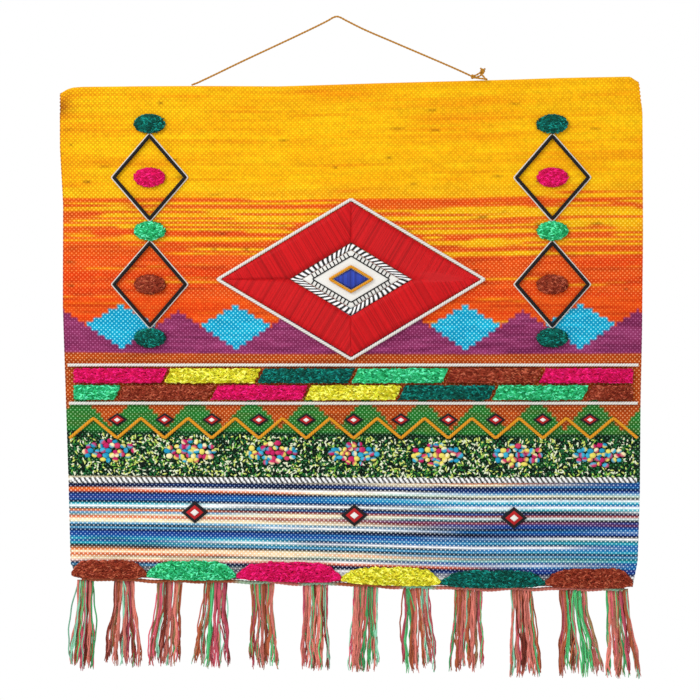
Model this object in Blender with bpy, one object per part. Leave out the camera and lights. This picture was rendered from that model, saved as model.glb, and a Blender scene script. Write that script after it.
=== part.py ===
"""A jute wall hanging: a weft-faced cloth with sewn-on cords, felt, satin thread and cut pile,
a twined hem yarn, twelve bunches of fringe, and the cord it hangs by.

Metres, +Z up. The front faces -Y and the wall is on the +Y side. The origin is the top of the
hanging cord, where a nail carries it.
"""

import math
import random

import bmesh
import bpy
import numpy as np

# The cloth
CLOTH_THICK = 0.003
HEM_THICK = 0.0065
HEM_DEEP = 0.020
HEM_STEP = 0.004
CLOTH_COLUMNS = 20
CLOTH_ROWS = 16
GAP = 0.0003
LIFT = 0.00045

# Its outline, each edge read in one direction: x, z
TOP_EDGE = (
    (-0.2497, -0.0686),
    (-0.2385, -0.0631),
    (-0.0524, -0.0624),
    (0.0387, -0.0594),
    (0.1994, -0.0549),
    (0.2637, -0.0541),
    (0.2710, -0.0590),
)
BOTTOM_EDGE = (
    (-0.2336, -0.5040),
    (-0.0738, -0.5066),
    (0.0297, -0.5094),
    (0.1200, -0.5122),
    (0.2660, -0.5134),
)
LEFT_EDGE = (
    (-0.2497, -0.0686),
    (-0.2495, -0.123),
    (-0.2465, -0.174),
    (-0.2465, -0.264),
    (-0.2439, -0.337),
    (-0.2412, -0.419),
    (-0.2394, -0.492),
    (-0.2336, -0.5040),
)
RIGHT_EDGE = (
    (0.2710, -0.0590),
    (0.2741, -0.091),
    (0.2749, -0.201),
    (0.2743, -0.286),
    (0.2731, -0.351),
    (0.2725, -0.430),
    (0.2705, -0.490),
    (0.2660, -0.5134),
)

# How the cloth bellies off the wall, broad waves: depth, length across, length down, turn
WAVES = ((0.0018, 0.36, 0.90, 0.6), (0.0010, 0.21, -0.50, 2.0))

# The medallion, a diamond. Each size is the distance from its middle to a side
MIDDLE_X = 0.0126
MEDALLION_Z = -0.2365
MEDALLION_HALF_WIDE = 0.117
MEDALLION_HALF_HIGH = 0.070
EDGE_CORD_AT = 0.0615
SATIN_FROM, SATIN_TO = 0.0285, 0.0594
BRAID_FROM, BRAID_TO = 0.0229, 0.0280
FELT_TO = 0.0224
CENTRE_CORD_AT = 0.0098
CENTRE_TO = 0.0078
FELT_THICK = 0.0018
CENTRE_THICK = 0.0035
CENTRE_CORD_RADIUS = 0.0014
SIDE_STEPS = 4

# Cords sewn to the cloth
COUCHED_RADIUS = 0.0016
BAND_CORD_Z = {"band_cord_upper": -0.3135, "band_cord_lower": -0.3478}
ZIGZAG_TOP, ZIGZAG_BOTTOM = -0.3612, -0.3792
ZIGZAG_PEAKS = 12
LOWER_BRAID_Z = -0.4170
LOWER_BRAID_WIDE = 0.0050
SEWN_INSET = 0.003

# The side columns
COLUMN_OFFSET = 0.1809
COLUMN_TOP_Z = -0.0970
COLUMN_STEP = 0.0480
COLUMN_HALF_WIDE = 0.0320
COLUMN_HALF_HIGH = 0.0370
TUFT_HALF_WIDE, TUFT_HALF_HIGH = 0.0145, 0.0088
TUFT_THICK = 0.0065
TUFT_LOCKS = 12
TUFT_COLOURS = ("teal", "magenta", "green", "brown", "teal")

# The tufted band: two rows of slanted blocks, the lower row half a block along
BLOCK_HIGH = 0.0130
BLOCK_ROW_Z = {"a": -0.3231, "b": -0.3382}
BLOCK_SLANT = 0.0060
BLOCK_THICK = 0.0060
BLOCK_SPACE = 0.0030
BLOCKS_IN_ROW = 6
BLOCK_ROW_COLOURS = {
    "a": ("magenta", "yellow", "teal", "green", "brown", "magenta"),
    "b": ("green", "brown", "magenta", "yellow", "teal", "green", "brown"),
}

# The hem pads along the lower edge: where each ends, its top and its colour
PADS_START_X = -0.2380
PADS = (
    (-0.1710, -0.4881, "brown"),
    (-0.0905, -0.4888, "green"),
    (0.0036, -0.4899, "magenta"),
    (0.0927, -0.4944, "yellow"),
    (0.1872, -0.4971, "teal"),
    (0.2655, -0.4962, "brown"),
)
PAD_THICK = 0.0060
PAD_LIFT = 0.0013
PAD_REACH = 0.0012
PAD_SHOULDER, PAD_FOOT = 0.62, 0.20
PAD_BEND, PAD_BLUNT = 3, 8

# The hem yarn and the fringe under it
TWINE_RADIUS = 0.0016
TWINE_STATIONS = 34
TWINE_INSET = 0.004
HEAD_HIGH = 0.0045
HEAD_DEEP = 0.0056
FRINGE_DEEP = 0.0095
STRANDS_ACROSS, STRANDS_DEEP = 6, 3
STRAND_STEPS = (0.22, 0.60, 1.0)
STRAND_HALF_WIDE, STRAND_HALF_DEEP = 0.0010, 0.0008
ROOT_INSET = 0.00026

# Each bunch: its root from and to, its end from and to, and how low it reaches
BUNCHES = (
    (-0.2330, -0.2190, -0.2403, -0.2196, -0.5855),
    (-0.1998, -0.1827, -0.2088, -0.1755, -0.5830),
    (-0.1611, -0.1395, -0.1692, -0.1413, -0.5828),
    (-0.1188, -0.0990, -0.1287, -0.0981, -0.5840),
    (-0.0774, -0.0567, -0.0783, -0.0540, -0.5848),
    (-0.0302, -0.0081, -0.0324, -0.0072, -0.5858),
    (0.0153, 0.0365, 0.0108, 0.0360, -0.5868),
    (0.0600, 0.0824, 0.0585, 0.0882, -0.5875),
    (0.1062, 0.1305, 0.1017, 0.1305, -0.5880),
    (0.1566, 0.1752, 0.1557, 0.1836, -0.5922),
    (0.2005, 0.2246, 0.1989, 0.2394, -0.5925),
    (0.2427, 0.2620, 0.2430, 0.2727, -0.5935),
)
FRINGE_COLOURS = ("salmon", "rust", "sand", "salmon")

# The hanging cord: from the hem on the left, over the nail, to its knot on the right
CORD_RADIUS = 0.0009
CORD_ROUTE = (
    (-0.1308, -0.0615),
    (-0.1258, -0.0597),
    (-0.1193, -0.0567),
    (-0.1098, -0.0522),
    (-0.0850, -0.0402),
    (-0.0600, -0.0285),
    (-0.0380, -0.0182),
    (-0.0190, -0.0091),
    (-0.0085, -0.0038),
    (-0.0035, -0.0009),
    (0.0, 0.0),
    (0.0035, -0.0010),
    (0.0085, -0.0037),
    (0.0252, -0.0120),
    (0.0480, -0.0218),
    (0.0700, -0.0312),
    (0.0920, -0.0406),
    (0.1080, -0.0476),
    (0.1187, -0.0525),
)
CORD_SPACING = 0.0052
CORD_OFF_CLOTH = -0.0004

# The knot at the cord's right end: a small loop, two lumps and two cut ends
KNOT_LOOP = ((0.1214, -0.0547), (0.1355, -0.0545), (0.1296, -0.0490))
KNOT_LUMPS = ((0.1212, -0.0540, 0.0026), (0.1296, -0.0488, 0.0030))
KNOT_ENDS = ((0.1283, -0.0452), (0.1336, -0.0466))

PALETTE = {
    "jute": (0.80, 0.50, 0.08),
    "black": (0.02, 0.02, 0.02),
    "white": (0.90, 0.88, 0.82),
    "red": (0.60, 0.02, 0.02),
    "blue": (0.05, 0.10, 0.55),
    "ochre": (0.55, 0.25, 0.03),
    "magenta": (0.55, 0.01, 0.09),
    "green": (0.03, 0.45, 0.16),
    "teal": (0.01, 0.10, 0.08),
    "yellow": (0.75, 0.68, 0.04),
    "brown": (0.26, 0.05, 0.02),
    "salmon": (0.50, 0.20, 0.14),
    "rust": (0.38, 0.12, 0.07),
    "sand": (0.45, 0.28, 0.16),
}
FIBRE_ROUGHNESS = 0.9


def clear_scene():
    for old in list(bpy.data.objects):
        bpy.data.objects.remove(old, do_unlink=True)


def paint(obj, colour):
    """A fibre finish of this colour, one for each piece."""
    material = bpy.data.materials.new(obj.name + "_fibre")
    material.use_nodes = True
    shader = material.node_tree.nodes["Principled BSDF"]
    shader.inputs["Base Color"].default_value = (*PALETTE[colour], 1.0)
    shader.inputs["Roughness"].default_value = FIBRE_ROUGHNESS
    shader.inputs["Metallic"].default_value = 0.0
    obj.data.materials.append(material)


def add_mesh(name, colour, bm, smooth=True):
    bmesh.ops.recalc_face_normals(bm, faces=bm.faces)
    mesh = bpy.data.meshes.new(name)
    bm.to_mesh(mesh)
    bm.free()
    obj = bpy.data.objects.new(name, mesh)
    bpy.context.scene.collection.objects.link(obj)
    if smooth:
        mesh.shade_smooth()
        mesh.set_sharp_from_angle(angle=math.radians(50))
    paint(obj, colour)
    return obj


def between(bm, first, second):
    """A closed body between two grids of points of one size, with walls round their rims.
    Returns the faces of the second grid."""
    rows, columns = first.shape[:2]
    layers = [[[bm.verts.new(p) for p in row] for row in grid] for grid in (first, second)]
    made = [[], []]
    for r in range(rows - 1):
        for c in range(columns - 1):
            for layer, faces in zip(layers, made):
                corners = (layer[r][c], layer[r][c + 1], layer[r + 1][c + 1], layer[r + 1][c])
                faces.append(bm.faces.new(corners))
    rim = [(0, c) for c in range(columns)]
    rim += [(r, columns - 1) for r in range(1, rows)]
    rim += [(rows - 1, c) for c in range(columns - 2, -1, -1)]
    rim += [(r, 0) for r in range(rows - 2, 0, -1)]
    for (r0, c0), (r1, c1) in zip(rim, rim[1:] + rim[:1]):
        wall = (layers[0][r0][c0], layers[0][r1][c1], layers[1][r1][c1], layers[1][r0][c0])
        bm.faces.new(wall)
    return made[1]


def belt(bm, loops, closed_round):
    """Joins loops of points side by side. Closed round, the last loop meets the first;
    otherwise the first and last are closed by one face each."""
    rings = [[bm.verts.new(p) for p in loop] for loop in loops]
    pairs = list(zip(rings, rings[1:]))
    if closed_round:
        pairs.append((rings[-1], rings[0]))
    for first, second in pairs:
        for i in range(len(first)):
            j = (i + 1) % len(first)
            bm.faces.new((first[i], first[j], second[j], second[i]))
    if not closed_round:
        bm.faces.new(rings[0])
        bm.faces.new(rings[-1])


def edge_at(edge, column, value):
    """The other coordinate of an edge's line at this x (column 0) or this z (column 1)."""
    rows = sorted(edge, key=lambda row: row[column])
    return np.interp(value, [row[column] for row in rows], [row[1 - column] for row in rows])


def edge_points(edge, column, share):
    """Points along an edge by share, 0 at its first row and 1 at its last."""
    value = edge[0][column] + share * (edge[-1][column] - edge[0][column])
    other = edge_at(edge, column, value)
    return np.stack((value, other) if column == 0 else (other, value), axis=-1)


def cloth_point(u, v):
    """x and z on the cloth, u from left to right and v from top to bottom. A Coons patch: the
    mean of the two ways of joining opposite edges, less the flat patch of the four corners."""
    top, bottom = edge_points(TOP_EDGE, 0, u), edge_points(BOTTOM_EDGE, 0, u)
    left, right = edge_points(LEFT_EDGE, 1, v), edge_points(RIGHT_EDGE, 1, v)
    u, v = u[..., None], v[..., None]
    corners = (
        (1 - u) * (1 - v) * np.array(TOP_EDGE[0])
        + u * (1 - v) * np.array(TOP_EDGE[-1])
        + (1 - u) * v * np.array(BOTTOM_EDGE[0])
        + u * v * np.array(BOTTOM_EDGE[-1])
    )
    return (1 - u) * left + u * right + (1 - v) * top + v * bottom - corners


def middle_y(x, z):
    """How far the cloth's middle stands off the plane y = 0."""
    waves = (
        deep * np.sin(2 * math.pi * (x / across + z / down) + turn)
        for deep, across, down, turn in WAVES
    )
    return sum(waves)


def front_y(x, z):
    """The face of the cloth, on which the sewn pieces lie."""
    return middle_y(x, z) - CLOTH_THICK / 2


def standing(x, z, off):
    """Points off the cloth's face, at this distance towards the viewer."""
    x, z = np.broadcast_arrays(np.asarray(x, float), np.asarray(z, float))
    return np.stack((x, front_y(x, z) - off, z), axis=-1)


def tube_rings(path, radius, sides, closed=False):
    """Rings of points round a path that lies near the cloth's plane, mitred at its corners."""
    path = np.asarray(path, float)
    if closed:
        run = np.roll(path, -1, axis=0) - path
    else:
        run = np.diff(path, axis=0, append=path[-1:] * 2 - path[-2:-1])
    run /= np.linalg.norm(run, axis=1, keepdims=True)
    before = np.roll(run, 1, axis=0)
    if not closed:
        before[0] = run[0]
    ahead = run + before
    ahead /= np.linalg.norm(ahead, axis=1, keepdims=True)
    side = np.cross(ahead, (0.0, -1.0, 0.0))
    side /= np.linalg.norm(side, axis=1, keepdims=True)
    out = np.cross(side, ahead)
    side /= (ahead * run).sum(axis=1, keepdims=True)
    turns = (np.arange(sides) + 0.5) * 2 * math.pi / sides
    around = side[:, None] * np.cos(turns)[:, None] + out[:, None] * np.sin(turns)[:, None]
    return path[:, None] + radius * around


def round_rod(name, colour, path, radius, sides=6, closed=False):
    bm = bmesh.new()
    belt(bm, tube_rings(path, radius, sides, closed), closed)
    return add_mesh(name, colour, bm)


def make_cloth():
    """The woven cloth. Its top edge is turned to the back as a hem of two layers."""
    high = TOP_EDGE[3][1] - BOTTOM_EDGE[2][1]
    fold, below = HEM_DEEP / high, (HEM_DEEP + HEM_STEP) / high
    v = np.concatenate(([0.0, fold / 2, fold], np.linspace(below, 1.0, CLOTH_ROWS - 2)))
    u, v = np.meshgrid(np.linspace(0, 1, CLOTH_COLUMNS + 1), v)
    x, z = np.moveaxis(cloth_point(u, v), -1, 0)
    middle = middle_y(x, z)
    thick = np.interp(v, (fold, below), (HEM_THICK, CLOTH_THICK))
    front = np.stack((x, middle - CLOTH_THICK / 2, z), axis=-1)
    back = np.stack((x, middle - CLOTH_THICK / 2 + thick, z), axis=-1)
    bm = bmesh.new()
    between(bm, back, front)
    add_mesh("cloth", "jute", bm, smooth=False)


def lumpy_pad(name, colour, corners, columns, rows, thick, lift, phase, bends=None):
    """Cut pile: a slab with rounded sides and soft lumps, whose lower rim ends in locks.
    Corners run top left, top right, bottom left, bottom right. With bends, which are a power for
    each end, the top falls and the foot rises towards the ends by shares of the height."""
    top_left, top_right, bottom_left, bottom_right = (np.array(c) for c in corners)
    u, v = np.meshgrid(np.linspace(0, 1, columns + 1), np.linspace(0, 1, rows + 1))
    top = (1 - u)[..., None] * top_left + u[..., None] * top_right
    bottom = (1 - u)[..., None] * bottom_left + u[..., None] * bottom_right
    spot = (1 - v)[..., None] * top + v[..., None] * bottom
    lock = np.where(np.arange(columns + 1) % 2 == 0, 0.0, 0.0016)
    x, z = spot[..., 0], spot[..., 1] + v**3 * lock
    if bends:
        bend = np.abs(2 * u - 1) ** np.where(u < 0.5, *bends) * (top - bottom)[..., 1]
        z += (v * PAD_FOOT - (1 - v) * PAD_SHOULDER) * bend
    crown = np.sqrt(np.clip(np.sin(math.pi * (0.08 + 0.84 * u)), 0, 1))
    crown = crown * np.sqrt(np.clip(np.sin(math.pi * (0.10 + 0.72 * v)), 0, 1))
    lumps = 1 + 0.14 * np.sin(5.1 * u * columns / 2 + phase) * np.cos(4.3 * v * rows / 2 + phase)
    bm = bmesh.new()
    between(bm, standing(x, z, lift), standing(x, z, lift + thick * crown * lumps))
    add_mesh(name, colour, bm)


def make_hem_pads():
    start = PADS_START_X
    for k, (end, top, colour) in enumerate(PADS):
        left, right = start + GAP, end - GAP
        low = [edge_at(BOTTOM_EDGE, 0, x) - PAD_REACH for x in (left, right)]
        corners = ((left, top), (right, top), (left, low[0]), (right, low[1]))
        bends = (PAD_BLUNT if k == 0 else PAD_BEND, PAD_BLUNT if end == PADS[-1][0] else PAD_BEND)
        lumpy_pad(f"hem_pad_{k + 1}", colour, corners, 14, 4, PAD_THICK, PAD_LIFT, k, bends)
        start = end


def make_band_blocks():
    """Two rows of slanted tufted blocks in brick bond; the lower row starts and ends with halves."""
    left, right = LEFT_EDGE[4][0] + 2 * SEWN_INSET, RIGHT_EDGE[4][0] - 2 * SEWN_INSET
    pitch = (right - left) / BLOCKS_IN_ROW
    inner = pitch * np.arange(1, BLOCKS_IN_ROW)
    ends = {
        "a": np.concatenate(([0.0], inner, [BLOCKS_IN_ROW * pitch])),
        "b": np.concatenate(([0.0], inner - pitch / 2, [inner[-1] + pitch / 2, inner[-1] + pitch])),
    }
    for row, middle in BLOCK_ROW_Z.items():
        bounds = left + ends[row]
        top, low = middle + BLOCK_HIGH / 2, middle - BLOCK_HIGH / 2
        for k, colour in enumerate(BLOCK_ROW_COLOURS[row]):
            first, last = bounds[k] + BLOCK_SPACE / 2, bounds[k + 1] - BLOCK_SPACE / 2
            lean_first = BLOCK_SLANT if k > 0 else 0.0
            lean_last = BLOCK_SLANT if k < len(bounds) - 2 else 0.0
            corners = (
                (first + lean_first / 2, top),
                (last + lean_last / 2, top),
                (first - lean_first / 2, low),
                (last - lean_last / 2, low),
            )
            columns = 8 if last - first > pitch / 2 else 4
            name = f"band_block_{row}{k + 1}"
            lumpy_pad(name, colour, corners, columns, 3, BLOCK_THICK, LIFT, k)


def diamond(half_wide, half_high, steps):
    """x and z round a diamond from its right corner, this many steps a side."""
    turn = np.arange(4 * steps) / steps
    side, share = turn.astype(int) % 4, turn % 1
    corners = np.array(((1, 0), (0, 1), (-1, 0), (0, -1), (1, 0)), float)
    spot = (1 - share)[:, None] * corners[side] + share[:, None] * corners[side + 1]
    return spot[:, 0] * half_wide, spot[:, 1] * half_high


def medallion_line(distance, steps=SIDE_STEPS):
    """The medallion's diamond whose sides are this far from its middle."""
    inner = MEDALLION_HALF_WIDE * MEDALLION_HALF_HIGH
    inner /= math.hypot(MEDALLION_HALF_WIDE, MEDALLION_HALF_HIGH)
    share = distance / inner
    x, z = diamond(MEDALLION_HALF_WIDE * share, MEDALLION_HALF_HIGH * share, steps)
    return MIDDLE_X + x, MEDALLION_Z + z


def flat_frame(name, colour, inner, outer, thick):
    """A flat diamond frame between two distances from the medallion's middle."""
    lines = ((inner, LIFT), (outer, LIFT), (outer, LIFT + thick), (inner, LIFT + thick))
    loops = [standing(*medallion_line(distance), off) for distance, off in lines]
    bm = bmesh.new()
    belt(bm, loops, closed_round=True)
    add_mesh(name, colour, bm, smooth=False)


def flat_diamond(name, colour, distance, lift, thick, steps):
    """A filled diamond, worked out on a grid that runs along its sides."""
    x, z = medallion_line(distance, 1)
    half_wide, half_high = x[0] - MIDDLE_X, z[1] - MEDALLION_Z
    u, v = np.meshgrid(np.linspace(0, 1, steps + 1), np.linspace(0, 1, steps + 1))
    x, z = MIDDLE_X + (u - v) * half_wide, MEDALLION_Z + (u + v - 1) * half_high
    bm = bmesh.new()
    between(bm, standing(x, z, lift), standing(x, z, lift + thick))
    add_mesh(name, colour, bm, smooth=False)


def make_medallion():
    x, z = medallion_line(EDGE_CORD_AT)
    edge = standing(x, z, LIFT + COUCHED_RADIUS)
    round_rod("medallion_edge_cord", "white", edge, COUCHED_RADIUS, closed=True)
    flat_frame("medallion_satin", "red", SATIN_FROM, SATIN_TO, FELT_THICK)
    flat_frame("medallion_braid", "black", BRAID_FROM, BRAID_TO, FELT_THICK)
    flat_diamond("medallion_felt", "white", FELT_TO, LIFT, FELT_THICK, SIDE_STEPS)
    on_felt = LIFT + FELT_THICK + GAP
    flat_diamond("medallion_centre", "blue", CENTRE_TO, on_felt, CENTRE_THICK, 2)
    x, z = medallion_line(CENTRE_CORD_AT)
    ring = standing(x, z, on_felt + CENTRE_CORD_RADIUS)
    round_rod("medallion_centre_cord", "ochre", ring, CENTRE_CORD_RADIUS, closed=True)


def make_tuft(name, colour, x, z):
    """A tufted oval: a dome of cut pile whose rim ends in locks."""
    turn = np.arange(TUFT_LOCKS) * 2 * math.pi / TUFT_LOCKS
    lock = np.where(np.arange(TUFT_LOCKS) % 2 == 0, 1.0, 0.86)
    dome = ((1.0, 0.0), (1.0, 0.35), (0.80, 0.80), (0.40, 1.0))
    loops = []
    for reach, height in dome:
        spread = reach * (1 + (lock - 1) * reach)
        ring_x = x + TUFT_HALF_WIDE * spread * np.cos(turn)
        ring_z = z + TUFT_HALF_HIGH * spread * np.sin(turn)
        loops.append(standing(ring_x, ring_z, LIFT + TUFT_THICK * height))
    bm = bmesh.new()
    belt(bm, loops, closed_round=False)
    add_mesh(name, colour, bm)


def make_columns():
    """Two columns of two cord diamonds each, with a tuft at every corner and in each middle."""
    for side, across in (("left", -1), ("right", 1)):
        x = MIDDLE_X + across * COLUMN_OFFSET
        for k, colour in enumerate(TUFT_COLOURS):
            make_tuft(f"tuft_{side}_{k + 1}", colour, x, COLUMN_TOP_Z - k * COLUMN_STEP)
        for place, step in (("upper", 1), ("lower", 3)):
            ring_x, ring_z = diamond(COLUMN_HALF_WIDE, COLUMN_HALF_HIGH, SIDE_STEPS)
            middle = COLUMN_TOP_Z - step * COLUMN_STEP
            ring = standing(x + ring_x, middle + ring_z, LIFT + COUCHED_RADIUS)
            name = f"column_diamond_{side}_{place}"
            round_rod(name, "black", ring, COUCHED_RADIUS, closed=True)


def make_cords_across():
    """The two white cords, the zigzag cord and the braid that run from selvedge to selvedge."""
    for name, z in BAND_CORD_Z.items():
        left = edge_at(LEFT_EDGE, 1, z) + SEWN_INSET
        right = edge_at(RIGHT_EDGE, 1, z) - SEWN_INSET
        x = np.linspace(left, right, 2 * BLOCKS_IN_ROW + 1)
        round_rod(name, "white", standing(x, z, LIFT + COUCHED_RADIUS), COUCHED_RADIUS)
    left = edge_at(LEFT_EDGE, 1, ZIGZAG_TOP) + SEWN_INSET
    right = edge_at(RIGHT_EDGE, 1, ZIGZAG_TOP) - SEWN_INSET
    x = np.linspace(left, right, 2 * ZIGZAG_PEAKS + 1)
    z = np.where(np.arange(len(x)) % 2 == 0, ZIGZAG_BOTTOM, ZIGZAG_TOP)
    round_rod("zigzag_cord", "ochre", standing(x, z, LIFT + COUCHED_RADIUS), COUCHED_RADIUS)
    left = edge_at(LEFT_EDGE, 1, LOWER_BRAID_Z) + SEWN_INSET
    right = edge_at(RIGHT_EDGE, 1, LOWER_BRAID_Z) - SEWN_INSET
    x, z = np.meshgrid(
        np.linspace(left, right, 2 * BLOCKS_IN_ROW + 1),
        LOWER_BRAID_Z + LOWER_BRAID_WIDE * np.array((-0.5, 0.5)),
    )
    bm = bmesh.new()
    between(bm, standing(x, z, LIFT), standing(x, z, LIFT + FELT_THICK))
    add_mesh("lower_braid", "black", bm, smooth=False)


def make_hem_twine():
    """The twined yarn that lies along the cloth's lower edge."""
    x = np.linspace(BOTTOM_EDGE[0][0] + TWINE_INSET, BOTTOM_EDGE[-1][0] - TWINE_INSET, TWINE_STATIONS)
    z = edge_at(BOTTOM_EDGE, 0, x) - GAP - TWINE_RADIUS
    path = np.stack((x, middle_y(x, z), z), axis=-1)
    round_rod("hem_twine", "rust", path, TWINE_RADIUS, sides=8)


def make_bunch(index, root_from, root_to, end_from, end_to, low):
    """One bunch of fringe. The strands are drawn out of the cells of the root's lower face."""
    chance = random.Random(index)
    top = edge_at(BOTTOM_EDGE, 0, np.array((root_from, root_to))).min()
    top -= 2 * (GAP + TWINE_RADIUS)
    u, w = np.meshgrid(
        np.linspace(0, 1, STRANDS_ACROSS + 1), np.linspace(-0.5, 0.5, STRANDS_DEEP + 1)
    )
    x = root_from + u * (root_to - root_from)
    y = middle_y(x, top) + w * HEAD_DEEP
    bm = bmesh.new()
    upper = np.stack((x, y, np.full_like(x, top)), axis=-1)
    lower = np.stack((x, y, np.full_like(x, top - HEAD_HIGH)), axis=-1)
    cells = between(bm, upper, lower)
    bmesh.ops.inset_individual(bm, faces=cells, thickness=ROOT_INSET)
    sway = chance.uniform(-0.0015, 0.0015)
    for k, face in enumerate(cells):
        deep, across = divmod(k, STRANDS_ACROSS)
        share = (across + 0.5) / STRANDS_ACROSS
        layer = (deep + 0.5) / STRANDS_DEEP - 0.5
        cell = (end_to - end_from) / STRANDS_ACROSS
        drift = chance.uniform(-0.22, 0.22) * cell
        fall = low + chance.uniform(0.0, 0.007)
        root = face.calc_center_median()
        end_x = end_from + share * (end_to - end_from) + drift
        end_y = root.y + layer * (FRINGE_DEEP - HEAD_DEEP)
        half_wide = min(STRAND_HALF_WIDE, 0.38 * (root_to - root_from) / STRANDS_ACROSS)
        for step in STRAND_STEPS:
            face = bmesh.ops.extrude_discrete_faces(bm, faces=[face])["faces"][0]
            bow = sway * math.sin(math.pi * step)
            middle = (
                root.x + (end_x - root.x) * step + bow,
                root.y + (end_y - root.y) * step,
                root.z + (fall - root.z) * step,
            )
            was = face.calc_center_median()
            for vert in face.verts:
                vert.co.x = middle[0] + math.copysign(half_wide, vert.co.x - was.x)
                vert.co.y = middle[1] + math.copysign(STRAND_HALF_DEEP, vert.co.y - was.y)
                vert.co.z = middle[2]
    colour = FRINGE_COLOURS[index % len(FRINGE_COLOURS)]
    add_mesh(f"fringe_{index + 1:02d}", colour, bm, smooth=False)


def smooth_line(route, spacing):
    """Points on one smooth curve (Catmull-Rom) through a route, evenly spaced."""
    route = np.asarray(route, float)
    padded = np.vstack((2 * route[0] - route[1], route, 2 * route[-1] - route[-2]))
    share = np.linspace(0, 1, 24, endpoint=False)[:, None]
    dense = []
    for k in range(len(route) - 1):
        p0, p1, p2, p3 = padded[k : k + 4]
        dense.append(
            0.5
            * (
                2 * p1
                + (p2 - p0) * share
                + (2 * p0 - 5 * p1 + 4 * p2 - p3) * share**2
                + (3 * p1 - p0 - 3 * p2 + p3) * share**3
            )
        )
    dense = np.vstack((*dense, route[-1:]))
    run = np.concatenate(([0.0], np.cumsum(np.linalg.norm(np.diff(dense, axis=0), axis=1))))
    stops = np.linspace(0, run[-1], round(run[-1] / spacing) + 1)
    return np.stack([np.interp(stops, run, dense[:, axis]) for axis in range(2)], axis=-1)


def make_hanging_cord():
    """The cord as a tube, ending just above the hem at the left and at its knot at the right."""
    line = smooth_line(CORD_ROUTE, CORD_SPACING)
    curve = bpy.data.curves.new("hanging_cord", "CURVE")
    curve.dimensions = "3D"
    curve.bevel_depth = CORD_RADIUS
    curve.bevel_resolution = 2
    curve.use_fill_caps = True
    spline = curve.splines.new("POLY")
    spline.points.add(len(line) - 1)
    for point, (x, z) in zip(spline.points, line):
        point.co = (x, CORD_OFF_CLOTH, z, 1.0)
    cord = bpy.data.objects.new("hanging_cord", curve)
    bpy.context.scene.collection.objects.link(cord)
    paint(cord, "ochre")


def make_hanging_knot():
    """The tie: a small loop on the hem's edge, two lumps and two cut ends, made one body."""
    depth = CORD_OFF_CLOTH
    corners = [(x, depth, z) for x, z in KNOT_LOOP]
    loop = []
    for start, end in zip(corners, corners[1:] + corners[:1]):
        loop += [tuple(np.array(start) + (np.array(end) - start) * k / 3) for k in range(3)]
    knot = round_rod("hanging_knot", "ochre", loop, CORD_RADIUS, sides=6, closed=True)
    helpers = []
    for k, (x, z, radius) in enumerate(KNOT_LUMPS):
        bm = bmesh.new()
        bmesh.ops.create_icosphere(bm, subdivisions=2, radius=radius)
        bmesh.ops.translate(bm, verts=bm.verts, vec=(x, depth, z))
        helpers.append(add_mesh(f"knot_lump_{k}", "ochre", bm))
    x, z, _ = KNOT_LUMPS[1]
    for k, (end_x, end_z) in enumerate(KNOT_ENDS):
        share = np.linspace(0, 1, 3)[:, None]
        start, end = np.array((x, depth, z)), np.array((end_x, depth, end_z))
        helpers.append(round_rod(f"knot_end_{k}", "ochre", start + (end - start) * share, CORD_RADIUS))
    for helper in helpers:
        union = knot.modifiers.new(helper.name, "BOOLEAN")
        union.operation = "UNION"
        union.object = helper
        helper.hide_render = True
        helper.display_type = "WIRE"


def main():
    clear_scene()
    make_cloth()
    make_hem_twine()
    make_hem_pads()
    make_band_blocks()
    make_medallion()
    make_columns()
    make_cords_across()
    for index, bunch in enumerate(BUNCHES):
        make_bunch(index, *bunch)
    make_hanging_cord()
    make_hanging_knot()


main()
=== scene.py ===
# %% [markdown]
# # A jute wall hanging, made in cells
#
# The real hanging is a thick weft-faced cloth. Pieces are sewn to it: cords, braid, felt, satin
# thread and cut pile. A fringe is drawn through its lower edge, and a cord carries it from a nail.
# The solids of the frame give every size and place, and this lesson puts yarn over them.
#
# Almost everything here is a surface worked out with numpy: a function of two parameters on a
# grid, or a profile carried along a path. Whole arrays go into each mesh at once, which keeps a
# cloth of sixty thousand crossings quick to make.

# %% Load the frame and keep its box
import math

import bpy
import numpy as np
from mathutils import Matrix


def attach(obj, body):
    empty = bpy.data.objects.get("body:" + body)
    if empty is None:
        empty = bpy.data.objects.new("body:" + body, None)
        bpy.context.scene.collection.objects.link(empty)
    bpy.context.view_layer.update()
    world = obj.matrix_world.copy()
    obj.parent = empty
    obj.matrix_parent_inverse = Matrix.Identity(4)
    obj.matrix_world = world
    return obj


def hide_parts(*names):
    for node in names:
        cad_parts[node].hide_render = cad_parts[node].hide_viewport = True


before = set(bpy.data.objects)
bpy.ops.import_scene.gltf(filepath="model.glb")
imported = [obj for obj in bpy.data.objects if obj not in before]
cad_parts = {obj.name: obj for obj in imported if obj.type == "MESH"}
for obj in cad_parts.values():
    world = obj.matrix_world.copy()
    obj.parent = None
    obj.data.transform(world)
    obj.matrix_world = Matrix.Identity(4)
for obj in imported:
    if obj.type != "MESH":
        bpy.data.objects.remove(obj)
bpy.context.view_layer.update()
MM = 0.001
print("frame nodes:", len(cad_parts))

# %% [markdown]
# ## The camera
#
# The photo was taken straight from the front, with a long lens, so upright edges stay upright.
# One pixel of its 700 stands for 0.9 mm at the cloth, and that fixes the distance: the width seen
# is the sensor's width times the distance, over the focal length.

# %% Camera
PHOTO_PIXELS = 700
PIXEL = 0.9 * MM
FOCAL, SENSOR = 85.0, 36.0
MIDDLE_OF_VIEW = (0.0117, -0.3000)


def add_object(name, data):
    """An object that shows this data, linked into the scene."""
    obj = bpy.data.objects.new(name, data)
    bpy.context.scene.collection.objects.link(obj)
    return obj


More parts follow.
